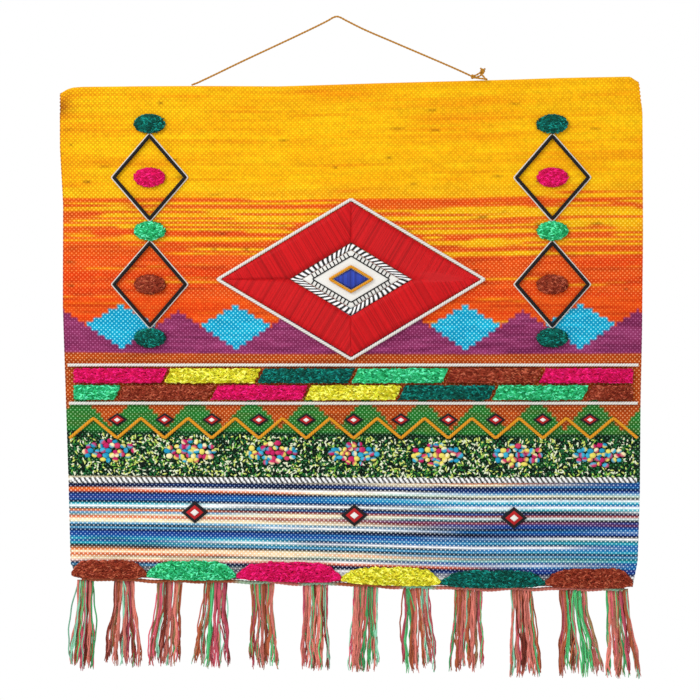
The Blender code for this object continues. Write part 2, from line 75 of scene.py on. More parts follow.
camera_data = bpy.data.cameras.new("front_camera")
camera_data.lens = FOCAL
camera_data.sensor_width = SENSOR
camera = add_object("front_camera", camera_data)
camera_distance = PHOTO_PIXELS * PIXEL * FOCAL / SENSOR
camera.location = (MIDDLE_OF_VIEW[0], -camera_distance, MIDDLE_OF_VIEW[1])
camera.rotation_euler = (math.radians(90), 0, 0)
bpy.context.scene.camera = camera
print(f"camera stands {camera_distance:.3f} m from the cloth")

# %% [markdown]
# ## From arrays to meshes
#
# Every piece below ends as an array of points and arrays of faces. One helper puts them into a
# mesh with `foreach_set`. It also stores the yarn's colour on each point, in an attribute called
# dye, because dyed yarn changes colour along its length and no image is used. A closed body whose
# volume comes out negative is inside out, so its faces are turned. Then the piece gets its finish
# and rides on the one body, and the solids that it stands for are hidden.

# %% Arrays into a mesh
DYE_DEPTH = 0.80


def dye(code):
    """A colour written as RRGGBB, made linear and a little deeper, since the lights add to it."""
    parts = np.array([int(code[k : k + 2], 16) / 255 for k in (0, 2, 4)])
    linear = np.where(parts <= 0.04045, parts / 12.92, ((parts + 0.055) / 1.055) ** 2.4)
    return linear * DYE_DEPTH


def signed_volume(points, face_sets):
    """A sixth of the sum of p0 . (p1 x p2) over the triangles of every face."""
    total = 0.0
    for faces in face_sets:
        first = points[faces[:, 0]]
        for k in range(1, faces.shape[1] - 1):
            pair = np.cross(points[faces[:, k]], points[faces[:, k + 1]])
            total += (first * pair).sum()
    return total / 6


def put_mesh(name, points, face_sets, dyes, uv_sets=None):
    """An object from points, sets of faces with equal corners, one dye a point, and UVs a corner.
    A dye may hold a fourth number, which the weave reads."""
    points = np.ascontiguousarray(points, dtype=float).reshape(-1, 3)
    face_sets = [np.asarray(faces, dtype=np.int32) for faces in face_sets if len(faces)]
    uv_sets = uv_sets or {}
    if signed_volume(points, face_sets) < 0:
        face_sets = [faces[:, ::-1] for faces in face_sets]
        uv_sets = {label: [uv[:, ::-1] for uv in uvs] for label, uvs in uv_sets.items()}
    corners = np.concatenate([faces.ravel() for faces in face_sets]).astype(np.int32)
    sizes = np.concatenate([np.full(len(faces), faces.shape[1]) for faces in face_sets])
    mesh = bpy.data.meshes.new(name)
    mesh.vertices.add(len(points))
    mesh.vertices.foreach_set("co", points.ravel())
    mesh.loops.add(len(corners))
    mesh.loops.foreach_set("vertex_index", corners)
    mesh.polygons.add(len(sizes))
    mesh.polygons.foreach_set("loop_start", (np.cumsum(sizes) - sizes).astype(np.int32))
    mesh.polygons.foreach_set("use_smooth", np.ones(len(sizes), dtype=bool))
    mesh.update(calc_edges=True)
    layer = mesh.color_attributes.new("dye", "FLOAT_COLOR", "POINT")
    dyes = np.asarray(dyes).reshape(len(points), -1)
    rgba = np.ones((len(points), 4))
    rgba[:, : dyes.shape[1]] = np.clip(dyes, 0, 1)
    layer.data.foreach_set("color", rgba.ravel())
    for label, uvs in uv_sets.items():
        layer = mesh.uv_layers.new(name=label)
        flat = np.concatenate([np.asarray(uv, float).reshape(-1, 2) for uv in uvs])
        layer.data.foreach_set("uv", flat.ravel())
    return add_object(name, mesh)


triangle_count = {}


def finish_piece(piece, material, slot, *nodes):
    """Gives a piece its finish, lets it ride on the one body and stand for its nodes.
    The slot is not used.
    """
    piece.data.materials.append(material)
    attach(piece, "root")
    if nodes:
        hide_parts(*nodes)
    triangle_count[piece.name] = sum(len(p.vertices) - 2 for p in piece.data.polygons)
    return piece


def make_piece(name, body, material, slot, *nodes):
    """A finished piece from a body, which is points, face sets and dyes."""
    return finish_piece(put_mesh(name, *body), material, slot, *nodes)


print("dyes are deepened to", DYE_DEPTH)

# %% [markdown]
# ## Round yarns along paths
#
# Cords, fringe, stitches and pile are all tubes, so one function makes any number of them at
# once. A ring stands at each point of a path. Its plane is set by the way ahead and by the
# direction of the viewer, which never lies along these paths. A plied cord is the same tube with
# a lobed ring that turns as it goes.

# %% Tubes, slabs and even steps
TO_VIEWER = (0.0, -1.0, 0.0)


def unit(vectors):
    """Each vector over its length."""
    return vectors / np.maximum(np.linalg.norm(vectors, axis=-1, keepdims=True), 1e-12)


def running_length(line):
    """The length of a line up to each of its points."""
    steps = np.linalg.norm(np.diff(line, axis=0), axis=1)
    return np.concatenate(([0.0], np.cumsum(steps)))


def tubes(paths, radius, sides, closed=False, swell=1.0):
    """Rings round each path. Point = path + radius x swell x (side cos a + out sin a), where side
    is the way ahead crossed with the viewer's direction, and out is square to both."""
    if closed:
        ahead = unit(np.roll(paths, -1, axis=1) - np.roll(paths, 1, axis=1))
    else:
        ahead = unit(np.gradient(paths, axis=1))
    side = unit(np.cross(ahead, TO_VIEWER))
    out = np.cross(side, ahead)
    angle = 2 * math.pi * np.arange(sides) / sides
    ring = side[:, :, None] * np.cos(angle)[:, None] + out[:, :, None] * np.sin(angle)[:, None]
    radius = np.broadcast_to(radius, paths.shape[:2])[:, :, None, None]
    return paths[:, :, None] + radius * np.broadcast_to(swell, ring.shape[:3])[..., None] * ring


def tube_faces(count, rings, sides, closed=False):
    """Quads between neighbouring rings, and fans of triangles over both ends if open."""
    base = (np.arange(count) * rings * sides)[:, None, None]
    r = np.arange(rings if closed else rings - 1)[None, :, None]
    s = np.arange(sides)[None, None, :]
    after, beside = (r + 1) % rings, (s + 1) % sides
    corners = (base + r * sides + s, base + after * sides + s)
    corners += (base + after * sides + beside, base + r * sides + beside)
    quads = np.stack(corners, axis=-1).reshape(-1, 4)
    if closed:
        return [quads]
    k = np.arange(1, sides - 1)[None, :]
    start = base[:, 0]
    end = start + (rings - 1) * sides
    first = np.stack(np.broadcast_arrays(start, start + k, start + k + 1), axis=-1)
    last = np.stack(np.broadcast_arrays(end, end + k + 1, end + k), axis=-1)
    return [quads, np.concatenate((first.reshape(-1, 3), last.reshape(-1, 3)))]


def grid_faces(rows, columns, base=0):
    """Quads of a grid of points stored row by row."""
    r, c = np.meshgrid(np.arange(rows - 1), np.arange(columns - 1), indexing="ij")
    a = base + r * columns + c
    return np.stack((a, a + columns, a + columns + 1, a + 1), axis=-1).reshape(-1, 4)


def slab_faces(rows, columns):
    """Faces of a closed body: a front grid, a back grid after it, and walls round their rims."""
    count = rows * columns
    spot = np.arange(count).reshape(rows, columns)
    rim = np.concatenate((spot[0, :-1], spot[:-1, -1], spot[-1, :0:-1], spot[:0:-1, 0]))
    after = np.roll(rim, -1)
    front = grid_faces(rows, columns)
    back = grid_faces(rows, columns, count)[:, ::-1]
    walls = np.stack((rim, after, after + count, rim + count), axis=-1)
    return [np.concatenate((front, back, walls))]


def evenly(points, spacing, closed=False):
    """Points at even steps along a line, read off against its running length."""
    points = np.asarray(points, float)
    if closed:
        points = np.vstack((points, points[:1]))
    run = running_length(points)
    at = np.linspace(0, run[-1], max(4, round(run[-1] / spacing)) + 1)
    line = np.stack([np.interp(at, run, column) for column in points.T], axis=-1)
    return line[:-1] if closed else line


def soften(line, passes, closed=False):
    """Rounds corners: each point becomes half itself and a quarter of each neighbour."""
    for _ in range(passes):
        mixed = 0.5 * line + 0.25 * (np.roll(line, 1, axis=0) + np.roll(line, -1, axis=0))
        if not closed:
            mixed[0], mixed[-1] = line[0], line[-1]
        line = mixed
    return line


def smooth_between(share):
    """3 s^2 - 2 s^3, which leaves 0 and reaches 1 level."""
    return share * share * (3 - 2 * share)


# Painted shade: how much the dye darkens in the grooves between a cord's two plies.
GROOVE_PAINTED_SHADE = 0.38


def plied_cord(line, radius, pitch, colour, sides=10, closed=False, groove=0.34):
    """Points, faces and dyes of a two-ply cord. The ring's radius is 1 - groove + groove x
    |cos(angle - twist)|, and the twist grows evenly along the line. The dye is darker in the
    grooves, as painted shade."""
    run = running_length(line)
    whole = run[-1] + (np.linalg.norm(line[0] - line[-1]) if closed else 0.0)
    turns = max(1, round(whole / pitch)) / whole
    twist = 2 * math.pi * turns * run
    angle = 2 * math.pi * np.arange(sides) / sides
    wave = np.abs(np.cos(angle[None] - twist[:, None]))
    rings = tubes(line[None], radius, sides, closed, (1 - groove + groove * wave)[None])
    shade = 1 - GROOVE_PAINTED_SHADE + GROOVE_PAINTED_SHADE * wave
    return rings, tube_faces(1, len(line), sides, closed), shade[..., None] * colour


print("mesh helpers ready")

# %% [markdown]
# ## Finishes
#
# A dyed yarn has no single colour. Its dye attribute gives the main one, and fine noise makes
# fibres lighter and darker. Bump comes from the same noise. Plant fibre is dull, so roughness is
# high. Sheen stays near zero, because on thousands of thin round locks it adds up to a grey veil
# over the dye. Satin thread is smoother, and felt has very fine short hairs.

# %% Fibre materials
def start_material(name, roughness, specular):
    """A material with its nodes, its links and its shader, which gets these two values."""
    material = bpy.data.materials.new(name)
    material.use_nodes = True
    nodes, links = material.node_tree.nodes, material.node_tree.links
    shader = nodes["Principled BSDF"]
    shader.inputs["Roughness"].default_value = roughness
    shader.inputs["Specular IOR Level"].default_value = specular
    return material, nodes, links, shader


def add_node(nodes, kind, **values):
    """A node with values on its sockets. An underscore stands for the space in a socket's name."""
    node = nodes.new(kind)
    for socket, value in values.items():
        node.inputs[socket.replace("_", " ")].default_value = value
    return node


def dye_attribute(nodes):
    """The node that reads the colour stored on the points."""
    node = nodes.new("ShaderNodeAttribute")
    node.attribute_name = "dye"
    return node


def fibre_material(name, roughness, sheen, grain, fleck, bump):
    """Base colour = dye x a grey between 1 - fleck and 1 + fleck that follows fine noise of this
    grain, in bumps a metre. The same noise lifts the surface by the bump's strength."""
    material, nodes, links, shader = start_material(name, roughness, 0.15)
    shader.inputs["Sheen Weight"].default_value = sheen
    shader.inputs["Sheen Roughness"].default_value = 0.6
    place = nodes.new("ShaderNodeTexCoord")
    noise = add_node(nodes, "ShaderNodeTexNoise", Scale=grain, Detail=4, Roughness=0.65)
    ends = {"From_Min": 0.3, "From_Max": 0.7, "To_Min": 1 - fleck, "To_Max": 1 + fleck}
    grey = add_node(nodes, "ShaderNodeMapRange", **ends)
    mix = nodes.new("ShaderNodeMix")
    mix.data_type = "RGBA"
    mix.blend_type = "MULTIPLY"
    mix.inputs["Factor"].default_value = 1.0
    raise_up = add_node(nodes, "ShaderNodeBump", Strength=bump, Distance=0.3 * MM)
    links.new(place.outputs["Object"], noise.inputs["Vector"])
    links.new(noise.outputs["Fac"], grey.inputs["Value"])
    links.new(dye_attribute(nodes).outputs["Color"], mix.inputs[6])
    links.new(grey.outputs["Result"], mix.inputs[7])
    links.new(mix.outputs[2], shader.inputs["Base Color"])
    links.new(noise.outputs["Fac"], raise_up.inputs["Height"])
    links.new(raise_up.outputs["Normal"], shader.inputs["Normal"])
    return material


yarn_finish = fibre_material("jute_yarn", 0.85, 0.02, 900, 0.16, 0.5)
cord_finish = fibre_material("cotton_cord", 0.80, 0.03, 1100, 0.10, 0.4)
pile_finish = fibre_material("cut_pile", 0.80, 0.0, 700, 0.16, 0.3)
satin_finish = fibre_material("satin_thread", 0.45, 0.0, 1500, 0.08, 0.25)
felt_finish = fibre_material("wool_felt", 0.92, 0.05, 2200, 0.06, 0.5)
print("finishes:", [m.name for m in bpy.data.materials if m.use_nodes])

# %% [markdown]
# ## The hanging cord
#
# A two-ply jute twine runs up from the top hem to the nail and down to its knot. It carries the
# cloth's weight, so both halves are nearly straight and it bends sharply only at the nail. The
# route is a short list of points, joined by one smooth curve. A curve object could carry it, but
# a lobed ring that turns shows the two plies.

# %% Hanging cord
CORD_RADIUS = 0.9 * MM
CORD_PITCH = 5.5 * MM
CORD_OFF_CLOTH = -0.4 * MM
CORD_ROUTE = (
    (-0.1308, -0.0615),
    (-0.1258, -0.0597),
    (-0.1193, -0.0567),
    (-0.1098, -0.0522),
    (-0.0850, -0.0402),
    (-0.0600, -0.0285),
    (-0.0380, -0.0182),
    (-0.0190, -0.0091),
    (-0.0085, -0.0038),
    (-0.0035, -0.0009),
    (0.0, 0.0),
    (0.0035, -0.0010),
    (0.0085, -0.0037),
    (0.0252, -0.0120),
    (0.0480, -0.0218),
    (0.0700, -0.0312),
    (0.0920, -0.0406),
    (0.1080, -0.0476),
    (0.1187, -0.0525),
)
TWINE_OCHRE = dye("C68A2C")


def smooth_line(route, spacing):
    """One smooth curve through the route, by the Catmull-Rom blend of four neighbours for each
    stretch, then set to even steps."""
    route = np.asarray(route, float)
    padded = np.vstack((2 * route[0] - route[1], route, 2 * route[-1] - route[-2]))
    p0, p1, p2, p3 = (padded[k : k + len(route) - 1, None] for k in range(4))
    t = np.linspace(0, 1, 24, endpoint=False)[None, :, None]
    dense = 2 * p1 + (p2 - p0) * t + (2 * p0 - 5 * p1 + 4 * p2 - p3) * t**2
    dense = 0.5 * (dense + (3 * p1 - p0 - 3 * p2 + p3) * t**3)
    return evenly(np.vstack((dense.reshape(-1, route.shape[1]), route[-1:])), spacing)


flat_line = smooth_line(CORD_ROUTE, 0.6 * MM)
cord_line = np.insert(flat_line, 1, CORD_OFF_CLOTH, axis=1)
body = plied_cord(cord_line, CORD_RADIUS, CORD_PITCH, TWINE_OCHRE)
hanging_twine = make_piece("hanging_twine", body, yarn_finish, "hanging_cord", "hanging_cord")

# %% [markdown]
# ## Its knot
#
# On the right the cord comes down to the hem and is tied back on itself. Four short runs of cord
# make the tie: one up to the cut end, one beside it, one along the hem and one that closes the
# loop. Two small wound knots hold them, near the top and where the cord arrives. A wound knot is
# a trefoil: a path that circles twice while it passes over and under.

# %% Knot
RUN_UP = (
    (0.1187, -0.0525),
    (0.1216, -0.0537),
    (0.1250, -0.0527),
    (0.1288, -0.0504),
    (0.1307, -0.0484),
    (0.1290, -0.0462),
)
RUN_BESIDE = (
    (0.1214, -0.0541),
    (0.1258, -0.0545),
    (0.1300, -0.0524),
    (0.1320, -0.0500),
    (0.1310, -0.0483),
    (0.1334, -0.0470),
)
RUN_ALONG_HEM = ((0.1212, -0.0547), (0.1262, -0.0555), (0.1312, -0.0562), (0.1352, -0.0571))
RUN_BACK = ((0.1292, -0.0512), (0.1312, -0.0535), (0.1328, -0.0556), (0.1346, -0.0568))
KNOT_RUNS = {RUN_UP: 0.0, RUN_BESIDE: 0.9 * MM, RUN_ALONG_HEM: 1.6 * MM, RUN_BACK: 2.0 * MM}
KNOT_WINDS = ((0.1309, -0.0490, 1.7 * MM), (0.1222, -0.0541, 1.5 * MM))
RUN_RADIUS, WIND_RADIUS = 0.85 * MM, 0.8 * MM
TREFOIL_SIZE, TREFOIL_SWING = 0.62, 0.55


def trefoil(x, z, size):
    """A closed knot about a spot: the radius is 1 + 0.55 cos 3a while the angle runs 2a, and the
    depth is sin 3a."""
    a = np.linspace(0, 2 * math.pi, 72, endpoint=False)
    half = size * TREFOIL_SIZE
    reach = half * (1 + TREFOIL_SWING * np.cos(3 * a))
    y = CORD_OFF_CLOTH + half * np.sin(3 * a)
    return np.stack((x + reach * np.cos(2 * a), y, z + reach * np.sin(2 * a)), axis=-1)


def join(parts):
    """Bodies as one: points end to end, and face numbers moved on by the points before."""
    points, sets, dyes, start = [], {}, [], 0
    for rings, faces, colours in parts:
        flat = np.asarray(rings).reshape(-1, 3)
        for one in faces:
            sets.setdefault(one.shape[1], []).append(one + start)
        points.append(flat)
        dyes.append(np.broadcast_to(colours, np.asarray(rings).shape).reshape(-1, 3))
        start += len(flat)
    return np.concatenate(points), [np.concatenate(s) for s in sets.values()], np.concatenate(dyes)


knot_parts = []
for run, depth in KNOT_RUNS.items():
    flat_run = smooth_line(run, 0.5 * MM)
    outward = depth * np.sin(0.5 * math.pi * np.linspace(0, 1, len(flat_run)))
    line = np.insert(flat_run, 1, CORD_OFF_CLOTH - outward, axis=1)
    knot_parts.append(plied_cord(line, RUN_RADIUS, CORD_PITCH, TWINE_OCHRE, 8))
for wind in KNOT_WINDS:
    knot_parts.append(plied_cord(trefoil(*wind), WIND_RADIUS, CORD_PITCH, TWINE_OCHRE, 8, True))
cord_knot = make_piece("cord_knot", join(knot_parts), yarn_finish, "hanging_cord", "hanging_knot")
print("knot bodies:", len(knot_parts))

# %% [markdown]
# ## Where the cloth hangs
#
# The cloth is not a true rectangle. Hand weaving draws its sides in, and its weight lets the
# middle belly off the wall. Four short tables give its edges, read by share. A Coons patch fills
# them: the mean of joining left to right and top to bottom, less the flat patch of the corners.
# Everything sewn on asks `front_y` how far out the face is, so nothing floats or sinks.

# %% The cloth's outline and waves
CLOTH_THICK, HEM_THICK = 3.0 * MM, 6.5 * MM
HEM_DEEP, HEM_STEP = 20 * MM, 4 * MM
TOP_EDGE = (
    (-0.2497, -0.0686),
    (-0.2443, -0.0650),
    (-0.2385, -0.0631),
    (-0.2295, -0.0625),
    (-0.0524, -0.0624),
    (0.0387, -0.0594),
    (0.1994, -0.0549),
    (0.2637, -0.0541),
    (0.2710, -0.0590),
)
BOTTOM_EDGE = (
    (-0.2336, -0.5040),
    (-0.0738, -0.5066),
    (0.0297, -0.5094),
    (0.1200, -0.5122),
    (0.2660, -0.5134),
)
LEFT_EDGE = (
    (-0.2497, -0.0686),
    (-0.2495, -0.123),
    (-0.2465, -0.174),
    (-0.2465, -0.264),
    (-0.2439, -0.337),
    (-0.2412, -0.419),
    (-0.2394, -0.492),
    (-0.2336, -0.5040),
)
RIGHT_EDGE = (
    (0.2710, -0.0590),
    (0.2741, -0.091),
    (0.2749, -0.201),
    (0.2743, -0.286),
    (0.2731, -0.351),
    (0.2725, -0.430),
    (0.2705, -0.490),
    (0.2660, -0.5134),
)
WAVES = ((0.0018, 0.36, 0.90, 0.6), (0.0010, 0.21, -0.50, 2.0))


def edge_at(edge, column, value):
    """The other coordinate of an edge at this x (column 0) or this z (column 1)."""
    rows = sorted(edge, key=lambda row: row[column])
    return np.interp(value, [row[column] for row in rows], [row[1 - column] for row in rows])


def edge_points(edge, column, share):
    """Points along an edge by share, 0 at its first row and 1 at its last."""
    value = edge[0][column] + share * (edge[-1][column] - edge[0][column])
    other = edge_at(edge, column, value)
    return np.stack((value, other) if column == 0 else (other, value), axis=-1)


def corner_drop(x):
    """How far the top edge falls at its corners, below the straight run between them."""
    return edge_at(TOP_EDGE, 0, x) - edge_at(TOP_EDGE[3:-1], 0, x)


CORNER_FADE = 0.03


def cloth_point(u, v):
    """x and z on the cloth, u from left to right and v from top to bottom. The patch spreads the
    corner drop by 1 - v, and this is swapped for exp(-v / 0.03), so rows soon run straight."""
    u, v = np.broadcast_arrays(np.asarray(u, float), np.asarray(v, float))
    top, bottom = edge_points(TOP_EDGE, 0, u), edge_points(BOTTOM_EDGE, 0, u)
    left, right = edge_points(LEFT_EDGE, 1, v), edge_points(RIGHT_EDGE, 1, v)
    u, v = u[..., None], v[..., None]
    corners = (1 - u) * (1 - v) * np.array(TOP_EDGE[0]) + u * (1 - v) * np.array(TOP_EDGE[-1])
    corners = corners + (1 - u) * v * np.array(BOTTOM_EDGE[0]) + u * v * np.array(BOTTOM_EDGE[-1])
    points = (1 - u) * left + u * right + (1 - v) * top + v * bottom - corners
    drop = corner_drop(top[..., :1])
    points[..., 1:] += drop * (np.exp(-v / CORNER_FADE) - (1 - v))
    return points


def middle_y(x, z):
    """The cloth's middle layer: a sum of long waves, depth x sin(2 pi (x / across + z / down) +
    turn)."""
    waves = (
        deep * np.sin(2 * math.pi * (x / across + z / down) + turn)
        for deep, across, down, turn in WAVES
    )
    return sum(waves)


def front_y(x, z):
    """The cloth's face, half its thickness before the middle layer."""
    return middle_y(x, z) - CLOTH_THICK / 2


def standing(x, z, off):
    """Points off the cloth's face, at this distance towards the viewer."""
    x, z, off = np.broadcast_arrays(*(np.asarray(part, float) for part in (x, z, off)))
    return np.stack((x, front_y(x, z) - off, z), axis=-1)


WARPS, WEFTS = 262, 226
print(f"{WARPS} x {WEFTS} crossings, one every 2 mm")

# %% [markdown]
# ## Dyeing the weft
#
# Every colour on the ground is a weft yarn. Many yarns are dyed in stretches, which makes long
# streaks along a row that seldom match the next row. Two kinds of noise give this. One drifts
# along each row by itself, and the other makes soft clouds that span several rows. A third helper
# lays single thin streaks with pointed ends, for slubs and for odd threads.

# %% Noise for streaks and clouds
weft = np.arange(WEFTS + 1)[:, None]
warp = np.arange(WARPS + 1)[None, :]
down_share = np.broadcast_to(weft / WEFTS, (WEFTS + 1, WARPS + 1))


def drift(seed, length, rows=WEFTS + 1):
    """One smooth random line for each row, 0 to 1, with a new value every `length` crossings."""
    chance = np.random.default_rng(seed)
    knots = chance.random((rows, (WARPS + 1) // length + 3))
    place = np.arange(WARPS + 1) / length + chance.random((rows, 1))
    k = place.astype(int)
    share = smooth_between(place - k)
    row = np.arange(rows)[:, None]
    return knots[row, k] * (1 - share) + knots[row, k + 1] * share


def clouds(seed, along, down):
    """Smooth random patches, 0 to 1, `along` crossings wide and `down` rows high."""
    chance = np.random.default_rng(seed)
    knots = chance.random(((WEFTS + 1) // down + 2, (WARPS + 1) // along + 2))
    r, c = weft / down, warp / along
    i, j = r.astype(int), c.astype(int)
    a, b = smooth_between(r - i), smooth_between(c - j)
    upper = knots[i, j] * (1 - b) + knots[i, j + 1] * b
    lower = knots[i + 1, j] * (1 - b) + knots[i + 1, j + 1] * b
    return upper * (1 - a) + lower * a


def streaks(seed, count, rows, half_from, half_to):
    """A mask of single streaks, at random on rows from the first to before the second of `rows`:
    1 - ((column - centre) / half)^2 on one row, and 0 elsewhere."""
    chance = np.random.default_rng(seed)
    row = chance.integers(*rows, count)
    centre = chance.uniform(0, WARPS, (count, 1))
    half = half_from + (half_to - half_from) * chance.random((count, 1)) ** 2
    profile = np.clip(1 - ((warp - centre) / half) ** 2, 0, 1)
    mask = np.zeros((WEFTS + 1, WARPS + 1))
    np.maximum.at(mask, row, profile * chance.uniform(0.5, 1, (count, 1)))
    return mask


def step(value, edge, soft):
    """0 below the edge and 1 above it, smooth over this softness."""
    return smooth_between(np.clip((value - edge) / soft + 0.5, 0, 1))


def blend(first, second, share):
    """first x (1 - share) + second x share, where colours have one axis more than the share."""
    return first * (1 - share[..., None]) + second * share[..., None]


def yarns(first, *mixes):
    """A whole ground of one dye, with others drifted in. Each mix is a dye, its share, and the
    seed, length, edge and softness that place it."""
    ground = np.broadcast_to(first, (WEFTS + 1, WARPS + 1, 3))
    for second, share, seed, length, edge, soft in mixes:
        ground = blend(ground, second, share * step(drift(seed, length), edge, soft))
    return ground


print("streak noise ready")

# %% [markdown]
# ## The ground from yellow to rust
#
# From the top the cloth is yellow with amber patches, then yellow and orange in thin streaks,
# then orange, a dog-tooth band of purple and turquoise, and rust with green steps. A dog-tooth
# is a triangle counted in crossings, so its slope climbs in steps as woven ones do. The share of
# orange in the streaks is a short table down the cloth, and it grows towards the left edge.
# Amber gathers at the top and at both sides, and a brown stain sits near the upper left corner.

# %% Yellow, orange and streaks
YELLOW, GOLD, AMBER = dye("FFD014"), dye("FCC20C"), dye("F8A60E")
ORANGE, FLAME, EMBER = dye("F37226"), dye("EE5E16"), dye("C04408")
APRICOT = dye("F08C26")
SLUB, TAN, STAIN = dye("6E4008"), dye("EC9208"), dye("B06018")
STAIN_WEFT, STAIN_REACH = 9, 5.0
ORANGE_SHARE = (
    (0.0, 0.0),
    (0.215, 0.0),
    (0.232, 0.40),
    (0.27, 0.50),
    (0.335, 0.62),
    (0.355, 0.97),
)
APRICOT_ENDS = 0.345

colours = blend(YELLOW, GOLD, step(clouds(1, 12, 2), 0.55, 0.7))
colours = blend(colours, GOLD, 0.6 * step(drift(2, 40), 0.62, 0.4))
amber = 0.62 * clouds(3, 60, 5) + 0.38 * drift(4, 46)
amber = amber + 0.16 * np.exp(-down_share / 0.07) + 0.20 * np.exp(-warp / 9)
amber = amber + 0.18 * np.exp((warp - WARPS) / 7)
corner_stain = np.exp(-(((weft - STAIN_WEFT) / STAIN_REACH) ** 2) - (warp / STAIN_REACH) ** 2)
colours = blend(colours, AMBER, 0.60 * step(amber, 0.74, 0.40))
colours = blend(colours, TAN, 0.55 * streaks(5, 34, (3, 54), 6, 36))
colours = blend(colours, STAIN, 0.75 * corner_stain)
wanted = np.interp(down_share, *zip(*ORANGE_SHARE))
wanted = np.where(wanted > 0.01, np.minimum(wanted + 0.22 * np.exp(-warp / 25), 0.98), 0)
streak = 0.76 * drift(6, 64) + 0.24 * drift(7, 11)
streak = streak.argsort(axis=None).argsort().reshape(streak.shape) / streak.size
is_orange = np.where(wanted > 0.01, step(1 - streak, 1 - wanted, 0.22), 0)
flame = yarns(ORANGE, (FLAME, 1.0, 8, 30, 0.5, 0.5), (EMBER, 0.55, 9, 24, 0.82, 0.15))
apricot_share = 0.55 * step(-down_share, -APRICOT_ENDS, 0.03) * drift(10, 50)
flame = blend(flame, APRICOT, apricot_share)
colours = blend(colours, flame, is_orange)
print("streaked rows:", int((wanted[:, 0] > 0.2).sum()))

# %% Purple, turquoise, rust and green
PLUM, MAUVE, GRAPE = dye("A04878"), dye("B85E90"), dye("80305E")
TURQUOISE, CYAN = dye("0CB2D6"), dye("28C8E6")
RUST, TERRACOTTA, BARK = dye("CA641E"), dye("DC762A"), dye("A04A0C")
LEAF, MOSS, DEEP = dye("3A9444"), dye("58843A"), dye("063C24")
DOG_TOOTH_WARPS = 52
PLUM_FROM, RUST_FROM, DEEP_FROM, STEPS_FOOT, FOOT_FROM = 98, 123, 159, 161, 180


def tooth(period, turn=0.0):
    """1 at the tip of each tooth and 0 between teeth, along the warps."""
    return 1 - np.abs(2 * ((warp / period + turn) % 1) - 1)


def stepped(height):
    """A height in wefts, brought down to an even number, so slopes climb two wefts at a time."""
    return 2 * np.floor(height / 2)


cyan_top = RUST_FROM - stepped(8 + 15 * tooth(DOG_TOOTH_WARPS))
plum_top = RUST_FROM - stepped(3 + 17 * tooth(DOG_TOOTH_WARPS, 0.5))
step_top = STEPS_FOOT - stepped(5 + 15 * tooth(DOG_TOOTH_WARPS / 2, 0.25))
turquoise = yarns(TURQUOISE, (CYAN, 1.0, 11, 8, 0.6, 0.5))
plum = yarns(PLUM, (MAUVE, 0.6, 12, 9, 0.58, 0.4), (GRAPE, 0.6, 13, 14, 0.68, 0.3))
rust = yarns(RUST, (TERRACOTTA, 0.6, 14, 6, 0.62, 0.5), (BARK, 0.5, 15, 20, 0.62, 0.4))
green = yarns(LEAF, (MOSS, 0.7, 16, 10, 0.6, 0.4))
deep = yarns(DEEP, (LEAF, 0.4, 17, 7, 0.6, 0.4))
tops = (cyan_top, plum_top, RUST_FROM, step_top, DEEP_FROM)
for top, ground in zip(tops, (turquoise, plum, rust, green, deep)):
    colours = np.where((weft >= top)[..., None], ground, colours)
print(f"teeth across: {WARPS / DOG_TOOTH_WARPS:.1f}")

# %% [markdown]
# ## The striped foot
#
# Below the green the shuttles take turns, some with light yarn and some with dark. Each row of
# the table is one weft, with its yarn's colour at the left, in the middle and at the right, because
# these yarns are dyed in long stretches. A random shift moves the change of colour on every row.

# %% Stripes of the foot
INK, NAVY, ROYAL, VIOLET = dye("0A0E24"), dye("142A5A"), dye("2458A6"), dye("44509C")
SEA, TEAL, SKY, AQUA = dye("2080BE"), dye("127482"), dye("6CB4DC"), dye("48C4D4")
ICE, WHITE, CREAM, PEACH = dye("E4F6F6"), np.full(3, 0.93), 1.14 * dye("FCF0D0"), dye("FCC49A")
CORAL, TANGERINE, BRICK = dye("EE7A48"), dye("F58A3C"), dye("8C3226")
ROSE, GREY = dye("B8605E"), dye("466A6C")
FOOT_CHART = (
    (CREAM, CORAL, SEA),
    (WHITE, CREAM, ROYAL),
    (CREAM, NAVY, SEA),
    (NAVY, ROYAL, NAVY),
    (NAVY, INK, ROYAL),
    (TANGERINE, WHITE, SKY),
    (CORAL, CREAM, AQUA),
    (NAVY, INK, INK),
    (ROYAL, SKY, WHITE),
    (VIOLET, SEA, AQUA),
    (ROYAL, SEA, SEA),
    (INK, NAVY, WHITE),
    (AQUA, WHITE, AQUA),
    (WHITE, INK, WHITE),
    (TEAL, ROYAL, NAVY),
    (TANGERINE, BRICK, ROSE),
    (SKY, CREAM, ICE),
    (CREAM, TEAL, INK),
    (CORAL, ROSE, VIOLET),
    (CREAM, BRICK, ROYAL),
    (CREAM, CREAM, ROYAL),
    (SKY, INK, SEA),
    (INK, WHITE, SEA),
    (SKY, INK, ROYAL),
    (NAVY, NAVY, INK),
    (ROYAL, SEA, WHITE),
    (ROYAL, ROYAL, TEAL),
    (SEA, SKY, AQUA),
    (AQUA, NAVY, SEA),
    (ROYAL, WHITE, SEA),
    (AQUA, INK, SEA),
    (INK, SKY, AQUA),
    (PEACH, INK, NAVY),
    (TANGERINE, CREAM, SKY),
    (CREAM, PEACH, TEAL),
    (CORAL, CREAM, AQUA),
    (PEACH, GREY, ROYAL),
    (CREAM, WHITE, SEA),
    (WHITE, CORAL, SEA),
    (NAVY, NAVY, VIOLET),
    (SKY, INK, ROYAL),
    (INK, WHITE, NAVY),
    (WHITE, NAVY, WHITE),
    (INK, WHITE, INK),
    (WHITE, INK, WHITE),
    (BRICK, GREY, ROSE),
    (BRICK, BRICK, ROSE),
)
chart = np.array(FOOT_CHART)
shift = 0.60 * (drift(18, 70, len(chart)) - 0.5)
place = warp / WARPS + shift + 0.16 * (drift(19, 16, len(chart)) - 0.5)
place = np.clip(place, 0, 1)
near = smooth_between(np.clip(2 * place, 0, 1))
